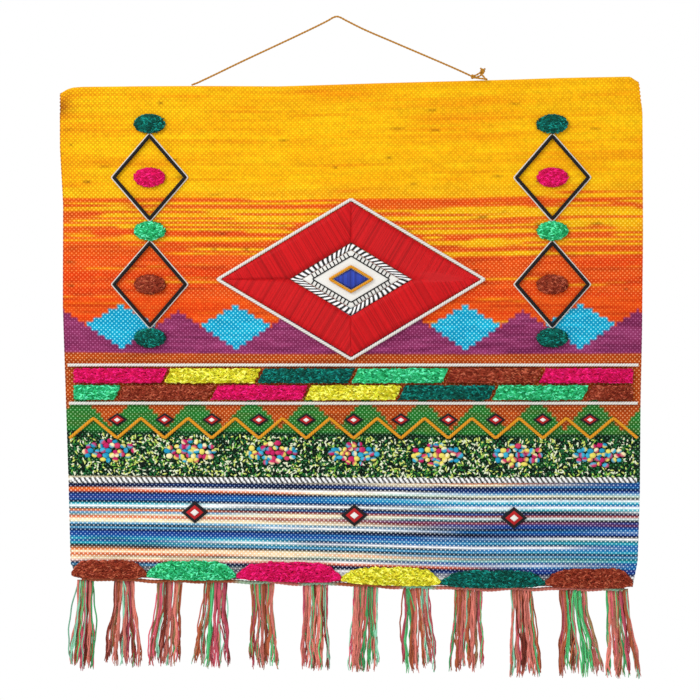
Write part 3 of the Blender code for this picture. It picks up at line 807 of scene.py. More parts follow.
far = smooth_between(np.clip(2 * place - 1, 0, 1))
foot = blend(blend(chart[:, None, 0], chart[:, None, 1], near), chart[:, None, 2], far)
colours[FOOT_FROM:] = foot
print("stripe rows:", len(foot), "of", WEFTS + 1 - FOOT_FROM)

# %% [markdown]
# ## Over and under
#
# In a plain weave the weft shows where it passes over a warp, and the warp shows where the weft
# dives. The warp here is pale. Between white rows it joins them, so a dark weft reads as a line
# of dashes, and on the coloured ground it shows as bright dots, because dyed fibre has rubbed off
# on it. How pale the warp stays is the fourth number of each dye. Above the foot it is a table of
# wefts and shares, varied in soft clouds, and in the foot it follows how light the two wefts
# beside it are. Now and then a slub, a thick dark bit of plant fibre, shows for a few crossings.

# %% Weave the colours
WARP_PALE = (
    (0, 0.0),
    (44, 0.0),
    (60, 0.05),
    (PLUM_FROM - 1, 0.04),
    (PLUM_FROM, 0.01),
    (RUST_FROM - 1, 0.01),
    (RUST_FROM, 0.10),
)
PALE_ON_TURQUOISE = 0.16

colours = blend(colours, SLUB, 0.60 * streaks(21, 46, (3, 96), 1.2, 4.0))
colours = colours * (0.91 + 0.18 * drift(22, 1))[..., None]
colours = colours * (0.96 + 0.08 * np.random.default_rng(23).random((WEFTS + 1, 1, 1)))
warp_pale = np.interp(weft, *zip(*WARP_PALE))
warp_pale = warp_pale * (0.75 + 0.25 * clouds(24, 26, 18) + 0.1 * drift(25, 1))
warp_pale = np.where((weft >= cyan_top) & (weft < plum_top), PALE_ON_TURQUOISE, warp_pale)
light = colours.mean(-1)
beside = 0.5 * (np.roll(light, 1, 0) + np.roll(light, -1, 0))
foot_pale = 0.10 + 0.95 * np.clip(beside - 0.1, 0, 0.8)
warp_pale = np.where(weft < FOOT_FROM, warp_pale, foot_pale)
woven = np.concatenate((colours, warp_pale[..., None]), axis=-1)
woven_back = woven[::2].copy()
over = (weft + warp) % 2 == 0
# Painted shade and light on the crossings: the lower ones, with the weft on top, are darkened and
# the raised warp crests lightened, most near the left edge of the top rows, a little everywhere in
# clouds, and more in clouds over wefts 44 to 98.
painted_crossing_shade = 0.13 * np.exp(-warp / 55) * step(-weft, -64, 12) + 0.02 * clouds(26, 30, 14)
painted_crossing_shade = painted_crossing_shade + 0.09 * clouds(27, 20, 8) * np.interp(weft, (44, 58, 96, 98), (0, 1, 1, 0))
woven[..., :3] *= (1 + np.where(over, -painted_crossing_shade, painted_crossing_shade))[..., None]
print("crossings with the weft on top:", int(over.sum()))

# %% [markdown]
# ## The cloth's surface
#
# The front is one grid with a point at each crossing. Relief is a fifth of a millimetre up or
# down by parity. The top is a rounded fold: at a distance d below it the face falls back by
# r - sqrt(r^2 - (r - d)^2). The back uses every second row, and stands off by two layers over
# the hem and by one below it, so the turned-down edge shows as a step. Its stitches press a
# shallow line into the front. Edges are finely scalloped where each weft turns round the last
# warp.

# %% Shape the cloth
RELIEF = 0.20 * MM
SCALLOP = 0.45 * MM
WEFT_WANDER, UNEVEN = 1.1 * MM, 0.17 * MM
EDGE_ROUND = 0.8 * MM
HEM_STITCH_DEEP, HEM_STITCH_HIGH = 0.5 * MM, 1.6 * MM

u, v = np.meshgrid(np.arange(WARPS + 1) / WARPS, np.arange(WEFTS + 1) / WEFTS)
x, z = np.moveaxis(cloth_point(u, v), -1, 0)
calm = np.clip(4 * v * (1 - v), 0, 1) * np.clip(12 * u * (1 - u), 0, 1)
z = z + WEFT_WANDER * calm * (clouds(31, 60, 16) - 0.5)
turn = np.where(weft % 2 == 0, SCALLOP, -SCALLOP)
x = x - np.where(warp == 0, turn, 0) + np.where(warp == WARPS, turn, 0)
uneven = np.random.default_rng(33).normal(0, UNEVEN, (2, *x.shape))
x, z = x + calm * uneven[0], z + calm * uneven[1]
below_top = v * (TOP_EDGE[5][1] - BOTTOM_EDGE[2][1])
fold = HEM_THICK / 2
fall_back = fold - np.sqrt(np.maximum(fold**2 - np.maximum(fold - below_top, 0) ** 2, 0))
rim = ((warp == 0) | (warp == WARPS) | (weft == WEFTS)) * EDGE_ROUND
crimp = np.where(over, -RELIEF, RELIEF) * (0.6 + 0.8 * drift(32, 2))
hem_stitch = HEM_STITCH_DEEP * np.exp(-(((below_top - HEM_DEEP) / HEM_STITCH_HIGH) ** 2))
front = np.stack((x, front_y(x, z) - crimp + fall_back + rim + hem_stitch, z), axis=-1)
layers = np.interp(below_top, (HEM_DEEP, HEM_DEEP + HEM_STEP), (HEM_THICK, CLOTH_THICK))
back_fall = np.minimum(fall_back, 0.40 * HEM_THICK)
back = np.stack((x, front_y(x, z) + layers + crimp - back_fall - rim, z), axis=-1)[::2]
print(f"cloth {np.ptp(x) * 1000:.0f} mm wide, {np.ptp(z) * 1000:.0f} mm high")

# %% [markdown]
# ## Join front and back
#
# The two grids meet along all four edges. Above and below they have the same columns, so quads
# fill the rim. At the sides the back has half as many rows, so three triangles fill each pair.
# Two UV maps go on the corners: one counts crossings, for the material, and one lays front, rim
# and back side by side in the unit square.

# %% Close the cloth and unwrap it
columns, back_rows = WARPS + 1, WEFTS // 2 + 1
count_front = front.shape[0] * columns
front_spot = np.arange(count_front).reshape(-1, columns)
back_spot = count_front + np.arange(back_rows * columns).reshape(-1, columns)


def side_rim(f, b):
    """Triangles between a column of the front and one of the back with half its rows."""
    fans = ((f[:-1:2], b[:-1], f[1::2]), (f[1::2], b[:-1], b[1:]), (f[1::2], b[1:], f[2::2]))
    return np.concatenate([np.stack(fan, axis=-1) for fan in fans])


def edge_rim(f, b):
    """Quads between a row of the front and one of the back."""
    return np.stack((f[:-1], f[1:], b[1:], b[:-1]), axis=-1)


def valley_first(quads, lift):
    """Starts each quad at a low corner, so the diagonal that splits it joins two low corners."""
    high_first = lift[quads[:, :1]] > lift[quads[:, 1:2]]
    return np.where(high_first, np.roll(quads, 1, axis=1), quads)


cloth_quads = [
    valley_first(grid_faces(WEFTS + 1, columns), crimp.ravel()),
    grid_faces(back_rows, columns, count_front)[:, ::-1],
    edge_rim(front_spot[0], back_spot[0]),
    edge_rim(front_spot[-1], back_spot[-1])[:, ::-1],
]
cloth_tris = [
    side_rim(front_spot[:, 0], back_spot[:, 0])[:, ::-1],
    side_rim(front_spot[:, -1], back_spot[:, -1]),
]
EDGE_STRIP = 0.012
FRONT_TOP, FRONT_HIGH, BACK_TOP, BACK_HIGH = 0.995, 0.715, 0.26, 0.255
front_uv = np.stack((EDGE_STRIP + (1 - 2 * EDGE_STRIP) * u, FRONT_TOP - FRONT_HIGH * v), axis=-1)
back_uv = front_uv[::2].copy()
back_uv[..., 1] = BACK_TOP - BACK_HIGH * (1 - v[::2])
flat_uv = np.concatenate((front_uv.reshape(-1, 2), back_uv.reshape(-1, 2)))
crossing = np.stack(np.broadcast_arrays(warp, weft), axis=-1).astype(float)
count_uv = np.concatenate((crossing.reshape(-1, 2), crossing[::2].reshape(-1, 2)))


def strip_uv(faces, shift_u, shift_v):
    """UVs of a rim face: a back corner takes the place of the front corner over it, moved into
    the strip beside the front."""
    on_back = faces >= count_front
    spots = np.where(on_back, faces - count_front, faces)
    rows = spots // columns * np.where(on_back, 2, 1)
    uv = front_uv[rows, spots % columns]
    uv[on_back] += (shift_u, shift_v)
    return uv


bake_uv = [
    flat_uv[cloth_quads[0]],
    flat_uv[cloth_quads[1]],
    strip_uv(cloth_quads[2], 0, 0.004),
    strip_uv(cloth_quads[3], 0, -0.015),
]
bake_tris = [strip_uv(cloth_tris[0], -0.01, 0), strip_uv(cloth_tris[1], 0.01, 0)]
quads, tris = np.concatenate(cloth_quads), np.concatenate(cloth_tris)
cloth_uv = {
    "Crossings": [count_uv[quads], count_uv[tris]],
    "OFBake": [np.concatenate(bake_uv), np.concatenate(bake_tris)],
}
cloth_points = np.concatenate((front.reshape(-1, 3), back.reshape(-1, 3)))
cloth_dyes = np.concatenate((woven.reshape(-1, 4), woven_back.reshape(-1, 4)))
woven_cloth = put_mesh("woven_cloth", cloth_points, [quads, tris], cloth_dyes, cloth_uv)
print("cloth triangles:", 2 * len(quads) + len(tris))

# %% [markdown]
# ## The weave's finish
#
# The grid has one dye at each crossing, and the material draws the yarns between. On the map
# that counts crossings, cos(pi u) x cos(pi v) is 1 where the weft is on top and -1 where the warp
# is, so it tells which yarn shows. Its size tells how near the gap is. There the dye is raised to
# a higher power, painted shade between the yarns, which turns yellow amber and not grey, as light
# that bounces between dyed fibres does. On a warp's crest the power is under 1, and the dye looks
# rubbed off. A grey of painted shade and light multiplies the colour: lighter on the raised warp
# crests, darker where the weft lies on top, and striped by slow slanting plies. Fine fibres vary
# its tone, and plies and fibres lift the yarn a little.

# %% Weave material
WARP_FROM, WARP_EDGE = -0.44, -4.6
# The power added in the gaps between yarns is painted shade.
POWER, GAP_PAINTED_SHADE, POWER_ON_WARP = 1.20, 0.22, -0.30
RUB, MOST_RUB = 2.8, 0.42
PLIES_ALONG, PLIES_DOWN = 4.4, 9.2
PALE_WARP = (0.86, 0.84, 0.78, 1)


def weave_material():
    """Dome = cos(pi u) cos(pi v). Power = 1.20 + 0.22 x gap - (0.3 + rub) x warp on top, where rub
    grows with the dye's fourth number; the gap's part of the power is painted shade. Base colour =
    dye to that power, and on the warp's crest mixed with cream by the fourth number, times a grey
    of painted shade and light."""
    material, nodes, links, shader = start_material("jute_weave", 0.88, 0.12)

    def set_or_link(socket, value):
        if isinstance(value, (int, float, tuple)):
            socket.default_value = value
        else:
            links.new(value, socket)

    def maths(operation, *values, clamp=False):
        node = nodes.new("ShaderNodeMath")
        node.operation = operation
        node.use_clamp = clamp
        for socket, value in zip(node.inputs, values):
            set_or_link(socket, value)
        return node.outputs[0]

    def added(total, *values):
        for value in values:
            total = maths("ADD", total, value)
        return total

    def times(first, second, clamp=False):
        return maths("MULTIPLY", first, second, clamp=clamp)

    def colour_mix(kind, factor, first, second):
        node = nodes.new("ShaderNodeMix")
        node.data_type = "RGBA"
        node.blend_type = kind
        for socket, value in zip((0, 6, 7), (factor, first, second)):
            set_or_link(node.inputs[socket], value)
        return node.outputs[2]

    crossings = nodes.new("ShaderNodeUVMap")
    crossings.uv_map = "Crossings"
    axes = nodes.new("ShaderNodeSeparateXYZ")
    links.new(crossings.outputs["UV"], axes.inputs["Vector"])
    along, down = axes.outputs["X"], axes.outputs["Y"]
    dome = times(maths("COSINE", times(along, math.pi)), maths("COSINE", times(down, math.pi)))
    gap = maths("SUBTRACT", 1.0, maths("ABSOLUTE", dome))
    warp_on_top = times(maths("SUBTRACT", dome, WARP_FROM), WARP_EDGE, clamp=True)
    place = nodes.new("ShaderNodeTexCoord")
    noise = add_node(nodes, "ShaderNodeTexNoise", Scale=900, Detail=3)
    links.new(place.outputs["Object"], noise.inputs["Vector"])
    fibres = maths("SUBTRACT", noise.outputs["Fac"], 0.5)
    plies = maths("SINE", added(times(along, PLIES_ALONG), times(down, PLIES_DOWN)))
    colour = dye_attribute(nodes)
    rub = maths("MINIMUM", times(colour.outputs["Alpha"], RUB), MOST_RUB)
    power_on_warp = times(warp_on_top, maths("SUBTRACT", POWER_ON_WARP, rub))
    bounced = nodes.new("ShaderNodeGamma")
    links.new(colour.outputs["Color"], bounced.inputs["Color"])
    # Painted shade: the power, and so the darkness, grows in the gaps between yarns.
    links.new(added(times(gap, GAP_PAINTED_SHADE), POWER, power_on_warp), bounced.inputs["Gamma"])
    pale = times(warp_on_top, colour.outputs["Alpha"])
    yarn = colour_mix("MIX", pale, bounced.outputs["Color"], PALE_WARP)
    # Painted shade and light: lighter on the raised warp crests, darker where the weft is on top,
    # striped by the plies; the fibre noise varies the tone.
    shade = added(times(dome, -0.07), 1.02, times(plies, 0.03), times(fibres, 0.40))
    grey = nodes.new("ShaderNodeCombineColor")
    for channel in grey.inputs:
        links.new(shade, channel)
    links.new(colour_mix("MULTIPLY", 1.0, yarn, grey.outputs["Color"]), shader.inputs["Base Color"])
    height = added(times(gap, -0.30), times(plies, 0.05), times(fibres, 0.5))
    raise_up = add_node(nodes, "ShaderNodeBump", Strength=0.4, Distance=0.4 * MM)
    links.new(height, raise_up.inputs["Height"])
    links.new(raise_up.outputs["Normal"], shader.inputs["Normal"])
    return material


finish_piece(woven_cloth, weave_material(), "jute_cloth", "cloth")
print("weave finish on", woven_cloth.name)

# %% [markdown]
# ## The hem yarn
#
# A yarn is twined along the lower edge to lock the last weft. Its dye changes along the way, in
# stretches of rust, salmon and pale green. The lobed ring that turns shows the two strands that
# cross between warps. It is caught up at some warps and sags a little between them.

# %% Hem yarn
TWINE_RADIUS, TWINE_INSET, GAP = 1.6 * MM, 4 * MM, 0.3 * MM
TWINE_SWELL, TWINE_PITCH = 1.15, 7 * MM
TWINE_SAG, SAG_EVERY = 1.5 * MM, 0.043
SALMON, ROSE_PINK, RUST_RED = dye("DC7E70"), dye("D05A6C"), dye("B8603E")
OLIVE, MINT, GRASS = dye("A8845C"), dye("92D4B2"), dye("58C47A")
GREY_MINT = dye("A6C8A8")
TWINE_DYES = (
    (0.0, RUST_RED),
    (0.275, RUST_RED),
    (0.292, GREY_MINT),
    (0.337, GREY_MINT),
    (0.350, SALMON),
    (0.394, SALMON),
    (0.405, GREY_MINT),
    (0.456, GREY_MINT),
    (0.472, RUST_RED),
    (0.553, RUST_RED),
    (0.580, SALMON),
    (0.592, MINT),
    (0.636, MINT),
    (0.652, SALMON),
    (0.949, SALMON),
    (0.975, MINT),
    (1.0, OLIVE),
)

x = np.linspace(BOTTOM_EDGE[0][0] + TWINE_INSET, BOTTOM_EDGE[-1][0] - TWINE_INSET, 520)
sag = TWINE_SAG * np.sin(math.pi * (x - x[0]) / SAG_EVERY) ** 2
sag = sag * smooth_between(np.abs(np.sin(31 * x)))
z = edge_at(BOTTOM_EDGE, 0, x) - GAP - TWINE_RADIUS - sag
line = np.stack((x, middle_y(x, z), z), axis=-1)
share = np.linspace(0, 1, len(x))
stops, stop_dyes = zip(*TWINE_DYES)
colour = np.stack([np.interp(share, stops, part) for part in np.array(stop_dyes).T], -1)
body = plied_cord(line, TWINE_SWELL * TWINE_RADIUS, TWINE_PITCH, colour[:, None], groove=0.3)
hem_yarn = make_piece("hem_yarn", body, yarn_finish, "hem_twine", "hem_twine")
print("hem yarn rings:", len(x))

# %% [markdown]
# ## The fringe
#
# Twelve bunches hang from the edge. Each is some locks of yarn, and each lock is five thin strands
# that keep close and share a colour. Nearly all fall straight, and three or four in a bunch have
# sprung out in a bow. A strand's path is a straight fall from its root to its end plus small
# waves. The rows say where each bunch starts and ends and how low it reaches, as in the solids:
# root from, root to, end from, end to, lowest.

# %% Fringe strands
BUNCHES = (
    (-0.2330, -0.2190, -0.2403, -0.2196, -0.5855),
    (-0.1998, -0.1827, -0.2088, -0.1755, -0.5830),
    (-0.1611, -0.1395, -0.1692, -0.1413, -0.5828),
    (-0.1188, -0.0990, -0.1287, -0.0981, -0.5840),
    (-0.0774, -0.0567, -0.0783, -0.0540, -0.5848),
    (-0.0302, -0.0081, -0.0324, -0.0072, -0.5858),
    (0.0153, 0.0365, 0.0108, 0.0360, -0.5868),
    (0.0600, 0.0824, 0.0585, 0.0882, -0.5875),
    (0.1062, 0.1305, 0.1017, 0.1305, -0.5880),
    (0.1566, 0.1752, 0.1557, 0.1836, -0.5922),
    (0.2005, 0.2246, 0.1989, 0.2394, -0.5925),
    (0.2427, 0.2620, 0.2430, 0.2727, -0.5935),
)
LOCKS, STRANDS, STRAND_RINGS, STRAND_SIDES = 13, 5, 18, 5
STRAND_RADIUS = 0.72 * MM
LOCK_WAVE, STRAND_WAVE, CRIMP_WAVE = 0.8 * MM, 0.6 * MM, 0.45 * MM
LOCK_DEEP, STRAND_DEEP = 2.4 * MM, 1.6 * MM
SPRUNG_OUT, ODD_SHARE = 3.6, 0.22
ROOT_SPREAD, END_SPREAD = 1.3, 1.5
LOCK_UNEVEN, STRAND_UNEVEN, MEAN_UNEVEN = 9, 5, 3.5
OXIDE = dye("8A3A2C")
FRINGE_DYES = np.array((SALMON, RUST_RED, ROSE_PINK, OLIVE, MINT, GRASS, OXIDE))
FRINGE_MIX = (0.30, 0.20, 0.14, 0.07, 0.12, 0.11, 0.06)


def bunch_of_fringe(index, root_from, root_to, end_from, end_to, low):
    """Paths (strands, steps, 3) and dyes. x goes from root to end, drawn in at the waist, plus a
    wave of the lock, a wave and a finer crimp of the strand, and a bow x sin(pi t^0.8) for a
    few."""
    chance = np.random.default_rng(100 + index)
    count = LOCKS * STRANDS
    lock = np.repeat(np.arange(LOCKS), STRANDS)
    own = chance.uniform(-0.5, 0.5, (5, count))
    root_share = (lock + 0.5 + ROOT_SPREAD * own[0]) / LOCKS
    end_share = lock + 0.5 + chance.normal(0, 0.8, LOCKS)[lock] + END_SPREAD * own[1]
    root_x = root_from + root_share * (root_to - root_from)
    end_x = end_from + np.clip(end_share / LOCKS, 0, 1) * (end_to - end_from)
    top = edge_at(BOTTOM_EDGE, 0, root_x) - 1.4 * (GAP + TWINE_RADIUS)
    short = (LOCK_UNEVEN * chance.random(LOCKS) ** 2)[lock] + STRAND_UNEVEN * (own[2] + 0.5)
    fall = low + (short - MEAN_UNEVEN) * MM
    t = np.linspace(0, 1, STRAND_RINGS)[None, :]
    way = 0.4 * smooth_between(t) + 0.6 * t
    x = root_x[:, None] + (end_x - root_x)[:, None] * way
    waist = chance.uniform(0, 0.22)
    middle = 0.5 * (root_from + root_to) * (1 - way) + 0.5 * (end_from + end_to) * way
    x = middle + (x - middle) * (1 - waist * np.sin(math.pi * np.clip(1.5 * t, 0, 1)) ** 2)
    wave, phase = chance.uniform(0.8, 2.0, LOCKS)[lock], chance.uniform(0, 6.3, LOCKS)[lock]
    x += LOCK_WAVE * (0.2 + t) * np.sin(2 * math.pi * wave[:, None] * t + phase[:, None])
    turns = (1.6 + 2.4 * own[3])[:, None]
    x += STRAND_WAVE * (0.3 + t) * np.sin(2 * math.pi * turns * t + 9 * own[0][:, None])
    fine_turns, fine_phase = turns + 2.4, 12 * own[1][:, None]
    x += CRIMP_WAVE * (0.3 + t) * np.sin(2 * math.pi * fine_turns * t + fine_phase)
    strays = (chance.random(count) < SPRUNG_OUT / count) * chance.choice((-1, 1), count)
    x += (strays * chance.uniform(3, 6.5, count))[:, None] * MM * np.sin(math.pi * t**0.8)
    z = top[:, None] + (fall - top)[:, None] * t
    layer = chance.uniform(-LOCK_DEEP, LOCK_DEEP, LOCKS)[lock] + STRAND_DEEP * own[4]
    y = middle_y(root_x, top)[:, None] + layer[:, None] * (0.35 + 0.65 * t)
    y = y + 0.5 * MM * np.sin(5 * t + phase[:, None])
    kinds = chance.choice(len(FRINGE_DYES), LOCKS, p=FRINGE_MIX)[lock]
    odd = chance.random(count) < ODD_SHARE
    kinds = np.where(odd, chance.choice(len(FRINGE_DYES), count, p=FRINGE_MIX), kinds)
    tone = chance.uniform(0.6, 1.25, count)
    return np.stack((x, y, z), axis=-1), FRINGE_DYES[kinds] * tone[:, None]


taper = np.interp(np.linspace(0, 1, STRAND_RINGS), (0, 0.06, 0.9, 1), (0.8, 1, 0.95, 0.4))
for index, bunch in enumerate(BUNCHES):
    paths, strand_dye = bunch_of_fringe(index, *bunch)
    rings = tubes(paths, STRAND_RADIUS * taper, STRAND_SIDES)
    patchy = np.random.default_rng(130 + index).uniform(0.82, 1.18, rings.shape[:2])
    shades = strand_dye[:, None, None] * patchy[:, :, None, None] + 0 * rings
    body = rings, tube_faces(len(paths), STRAND_RINGS, STRAND_SIDES), shades
    name, node = f"fringe_bunch_{index + 1:02d}", f"fringe_{index + 1:02d}"
    make_piece(name, body, yarn_finish, "fringe_yarn", node)
print("fringe strands:", len(BUNCHES) * LOCKS * STRANDS)

# %% [markdown]
# ## Cut pile
#
# Pads, blocks and ovals are tufts of soft yarn, sewn down, cut and combed sideways. Each is a low
# mound with hundreds of thick curled locks over it. A lock is a four-sided tube of three rings
# that lies nearly level. The outline is a little ragged, as scissors leave it, and a few locks run
# past it by up to a millimetre or so.

# %% Pile maker
PILE_DYES = {
    "magenta": dye("E80C64"),
    "yellow": dye("F8F038"),
    "green": dye("34CC84"),
    "teal": dye("02665A"),
    "brown": dye("9E3E26"),
}
PILE_SPREAD = {"magenta": 0.65, "yellow": 1.2, "green": 1.1, "teal": 0.9, "brown": 0.75}
LIFT = 0.45 * MM
LOCK_RADIUS, LOCK_SHORT, LOCK_LONG = 0.74 * MM, 2.8, 5.6
LIE_SPREAD, CURL_SPREAD = 0.55, 0.22
# The mound's dye is darkened by the last share here, painted shade seen in the gaps between the
# locks.
MOUND_SHARE, PILE_SHARE, MOUND_PAINTED_SHADE = 0.70, 0.80, 0.55
RING_ALONG = np.array((-0.45, 0.1, 0.55))
RING_RISE, RING_RADII = np.array((0.2, 1.0, 0.5)), np.array((0.7, 1.0, 0.5))
RING_SHADE = np.array((0.85, 1.0, 1.06))
TONES, TONE_MIX = (0.66, 0.86, 1.05, 1.36), (0.20, 0.30, 0.32, 0.18)


def pile_locks(seed, x, z, height, limit, colour_name):
    """Locks over spots (x, z) that head mostly sideways. The three rings stand at -0.45, 0.1 and
    0.55 of the length from the spot, on the mound plus a rise, and inside the limit plus a little
    slack. The dye is raised to 1.9 - 0.9 x tone, so dark locks are also deeper in colour."""
    chance = np.random.default_rng(seed)
    count = len(x)
    lie = chance.normal(0, LIE_SPREAD, count) + math.pi * (chance.random(count) < 0.5)
    head_x, head_z = np.cos(lie), np.sin(lie)
    length = chance.uniform(LOCK_SHORT, LOCK_LONG, count) * MM
    curl = chance.normal(0, CURL_SPREAD, count) * length
    t = RING_ALONG[None, :]
    path_x = x[:, None] + (head_x * length)[:, None] * t - (head_z * curl)[:, None] * t**2
    path_z = z[:, None] + (head_z * length)[:, None] * t + (head_x * curl)[:, None] * 4 * t**2
    slack = np.minimum(chance.exponential(0.5, count), 1.5)[:, None] * MM
    path_x, path_z = limit(path_x, path_z, slack)
    rise = chance.uniform(0.0, 0.9, count)[:, None] * MM * RING_RISE
    off = LIFT + height(path_x, path_z) * PILE_SHARE + rise
    paths = standing(path_x, path_z, np.maximum(off, LIFT + 0.3 * MM))
    thick = LOCK_RADIUS * chance.uniform(0.8, 1.2, count)[:, None] * RING_RADII
    rings = tubes(paths, thick, 4)
    colour, spread = PILE_DYES[colour_name], PILE_SPREAD[colour_name]
    tone = 1 + spread * (chance.choice(TONES, (count, 1), p=TONE_MIX) - 1)
    warm = chance.normal(1, 0.05, (count, 3))
    shades = (colour ** (1.9 - 0.9 * tone) * tone * warm)[:, None, None]
    # Painted shade: each lock is darker at its first ring, which lies lowest by the mound, and a
    # little lighter at its far end.
    shades = shades * RING_SHADE[:, None, None]
    return rings, tube_faces(count, 3, 4), np.broadcast_to(shades, rings.shape)


def ragged(place):
    """0 to 1, a mean of three waves of 6, 10 and 23 mm, for outlines cut by hand."""
    waves = (np.sin(2 * math.pi * place / size + size * 9e3) for size in (0.006, 0.0101, 0.0232))
    return 0.5 + sum(waves) / 6


def slab_on_cloth(x, z, off, low):
    """A closed body over a grid of spots, between a low layer and its face."""
    points = np.stack((standing(x, z, off), standing(x, z, np.full_like(x, low))))
    return points, slab_faces(*x.shape)


def mound(x, z, height, colour_name):
    """A closed low mound over a grid of spots, at 0.7 of the full height. Its dye is darkened,
    painted shade that shows in the gaps between the locks.
    """
    body = slab_on_cloth(x, z, LIFT + MOUND_SHARE * height(x, z), 0.2 * MM)
    return *body, PILE_DYES[colour_name] * MOUND_PAINTED_SHADE


def make_tuft(name, node, base, locks, colour_name):
    """A tuft from its base and the locks over it."""
    return make_piece(name, join([base, locks]), pile_finish, f"pile_{colour_name}", node)


def jittered(seed, columns, rows):
    """Shares u and v of a grid's cells, each moved at random inside its cell."""
    chance = np.random.default_rng(seed)
    u, v = np.meshgrid(np.arange(columns), np.arange(rows))
    shake = chance.uniform(-0.45, 0.45, (2, *u.shape))
    return ((u + 0.5 + shake[0]) / columns).ravel(), ((v + 0.5 + shake[1]) / rows).ravel()


def crown(u, v, rim_u, rim_v):
    """sqrt(sin(pi s) sin(pi t)), where u and v run from a first to a last value of s and t."""
    s = rim_u[0] + (rim_u[1] - rim_u[0]) * u
    t = rim_v[0] + (rim_v[1] - rim_v[0]) * v
    return np.sqrt(np.sin(math.pi * s) * np.sin(math.pi * t))


print("pile colours:", sorted(PILE_DYES))

# %% [markdown]
# ## Hem pads
#
# Six pads of pile lie along the lower edge, one colour each, shaped like low bushes: a foot that
# rises a little towards both ends, and a top that falls more. The two outer ends are blunt. The
# height over the cloth is the product of two rounded curves, across and down. The rows say where
# each pad ends, how high its top lies and its colour.

# %% Hem pads
PADS_START_X = -0.2380
PADS = (
    (-0.1710, -0.4881, "brown"),
    (-0.0905, -0.4888, "green"),
    (0.0036, -0.4899, "magenta"),
    (0.0927, -0.4944, "yellow"),
    (0.1872, -0.4971, "teal"),
    (0.2655, -0.4962, "brown"),
)
PAD_THICK, PAD_REACH = 6.0 * MM, 1.2 * MM
PAD_SHOULDER, PAD_FOOT = 0.66, 0.16
PAD_BEND, PAD_BLUNT = 4.6, 8
PAD_HIGH, PAD_LOCK_STEP = 18 * MM, 1.38 * MM
TOP_RAGGED, EDGE_INSET = 2.2, 0.3


def pad_shape(left, right, top, powers):
    """Functions of one pad: where shares u and v lie, the height over any x and z, and x and z
    kept inside. Bend = |2u - 1| to the power of that end. The top falls by 0.66 x bend of the
    pad's height, and the foot rises by 0.16 x bend of it."""

    def lines(x):
        u = np.clip((x - left) / (right - left), 0, 1)
        low = edge_at(BOTTOM_EDGE, 0, np.clip(x, left, right)) - PAD_REACH
        bend = np.abs(2 * u - 1) ** np.where(u < 0.5, *powers) * (top - low)
        return u, top - PAD_SHOULDER * bend, low + PAD_FOOT * bend

    def spot(u, v):
        x = left + u * (right - left)
        _, upper, lower = lines(x)
        return x, upper * (1 - v) + lower * v

    def height(x, z):
        u, upper, lower = lines(x)
        u = np.clip(u, 0.02, 0.98)
        v = np.clip((upper - z) / np.maximum(upper - lower, 1 * MM), 0.02, 1)
        lumps = 1 + 0.13 * np.sin(900 * x + 5 * left) * np.cos(700 * z)
        return PAD_THICK * crown(u, v, (0.06, 0.94), (0.08, 0.88)) * lumps

    def limit(x, z, slack):
        x = np.clip(x, left - 0.5 * slack, right + 0.5 * slack)
        _, upper, lower = lines(x)
        bottom = lower + (EDGE_INSET + ragged(x + 0.02)) * MM
        return x, np.clip(z, bottom, upper - (EDGE_INSET + TOP_RAGGED * ragged(x)) * MM + slack)

    return spot, height, limit


start = PADS_START_X
grid = np.meshgrid(np.linspace(0.015, 0.985, 44), np.linspace(0.13, 0.95, 12))
for k, (end, top, colour_name) in enumerate(PADS):
    powers = (PAD_BLUNT if k == 0 else PAD_BEND, PAD_BLUNT if k == len(PADS) - 1 else PAD_BEND)
    spot, height, limit = pad_shape(start + GAP, end - GAP, top, powers)
    cells = round((end - start) / PAD_LOCK_STEP), round(PAD_HIGH / PAD_LOCK_STEP)
    x, z = spot(*jittered(200 + k, *cells))
    base = mound(*spot(*grid), height, colour_name)
    locks = pile_locks(300 + k, x, z, height, limit, colour_name)
    make_tuft(f"pile_pad_{k + 1}", f"hem_pad_{k + 1}", base, locks, colour_name)
    start = end
print("pads:", len(PADS), "locks in the last:", len(x))

# %% [markdown]
# ## The tufted band
#
# Two rows of slanted blocks lie in brick bond. They are the same pile as the pads, on a mound
# with the outline of a leaning block. A block's left and right sides are straight lines of z, so
# a share across is found by comparing x with both.

# %% Tufted blocks
BLOCK_HIGH, BLOCK_SLANT, BLOCK_SPACE, BLOCK_THICK = 13 * MM, 6 * MM, 3 * MM, 6 * MM
BLOCK_ROW_Z = {"a": -0.3231, "b": -0.3382}
BLOCKS_IN_ROW = 6
SEWN_INSET = 3 * MM
BLOCK_COLOURS = {
    "a": ("magenta", "yellow", "teal", "green", "brown", "magenta"),
    "b": ("green", "brown", "magenta", "yellow", "teal", "green", "brown"),
}
BLOCK_LOCK_STEP = 1.30 * MM


def block_shape(middle, first, last, lean_first, lean_last):
    """Functions of one block, as for a pad. Each side leans by its slant over the height."""

    def sides(z):
        lean = (z - middle) / BLOCK_HIGH
        return first + lean_first * lean, last + lean_last * lean

    def spot(u, v):
        z = middle + BLOCK_HIGH * (0.5 - v)
        left, right = sides(z)
        return left + u * (right - left), z + 0.0 * u

    def height(x, z):
        left, right = sides(z)
        u = np.clip((x - left) / (right - left), 0.02, 0.98)
        v = np.clip((middle - z) / BLOCK_HIGH + 0.5, 0.02, 0.98)
        lumps = 1 + 0.12 * np.sin(800 * x + first * 90)
        return BLOCK_THICK * crown(u, v, (0.05, 0.95), (0.10, 0.90)) * lumps

    def limit(x, z, slack):
        reach = 0.5 * BLOCK_HIGH + 0.6 * slack
        z = np.clip(z, middle - reach + ragged(x) * MM, middle + reach - ragged(x + 0.01) * MM)
        left, right = sides(z)
        side = 1.2 * ragged(3 * z + first) * MM
        return np.clip(x, left - slack + side, right + slack - side), z

    return spot, height, limit


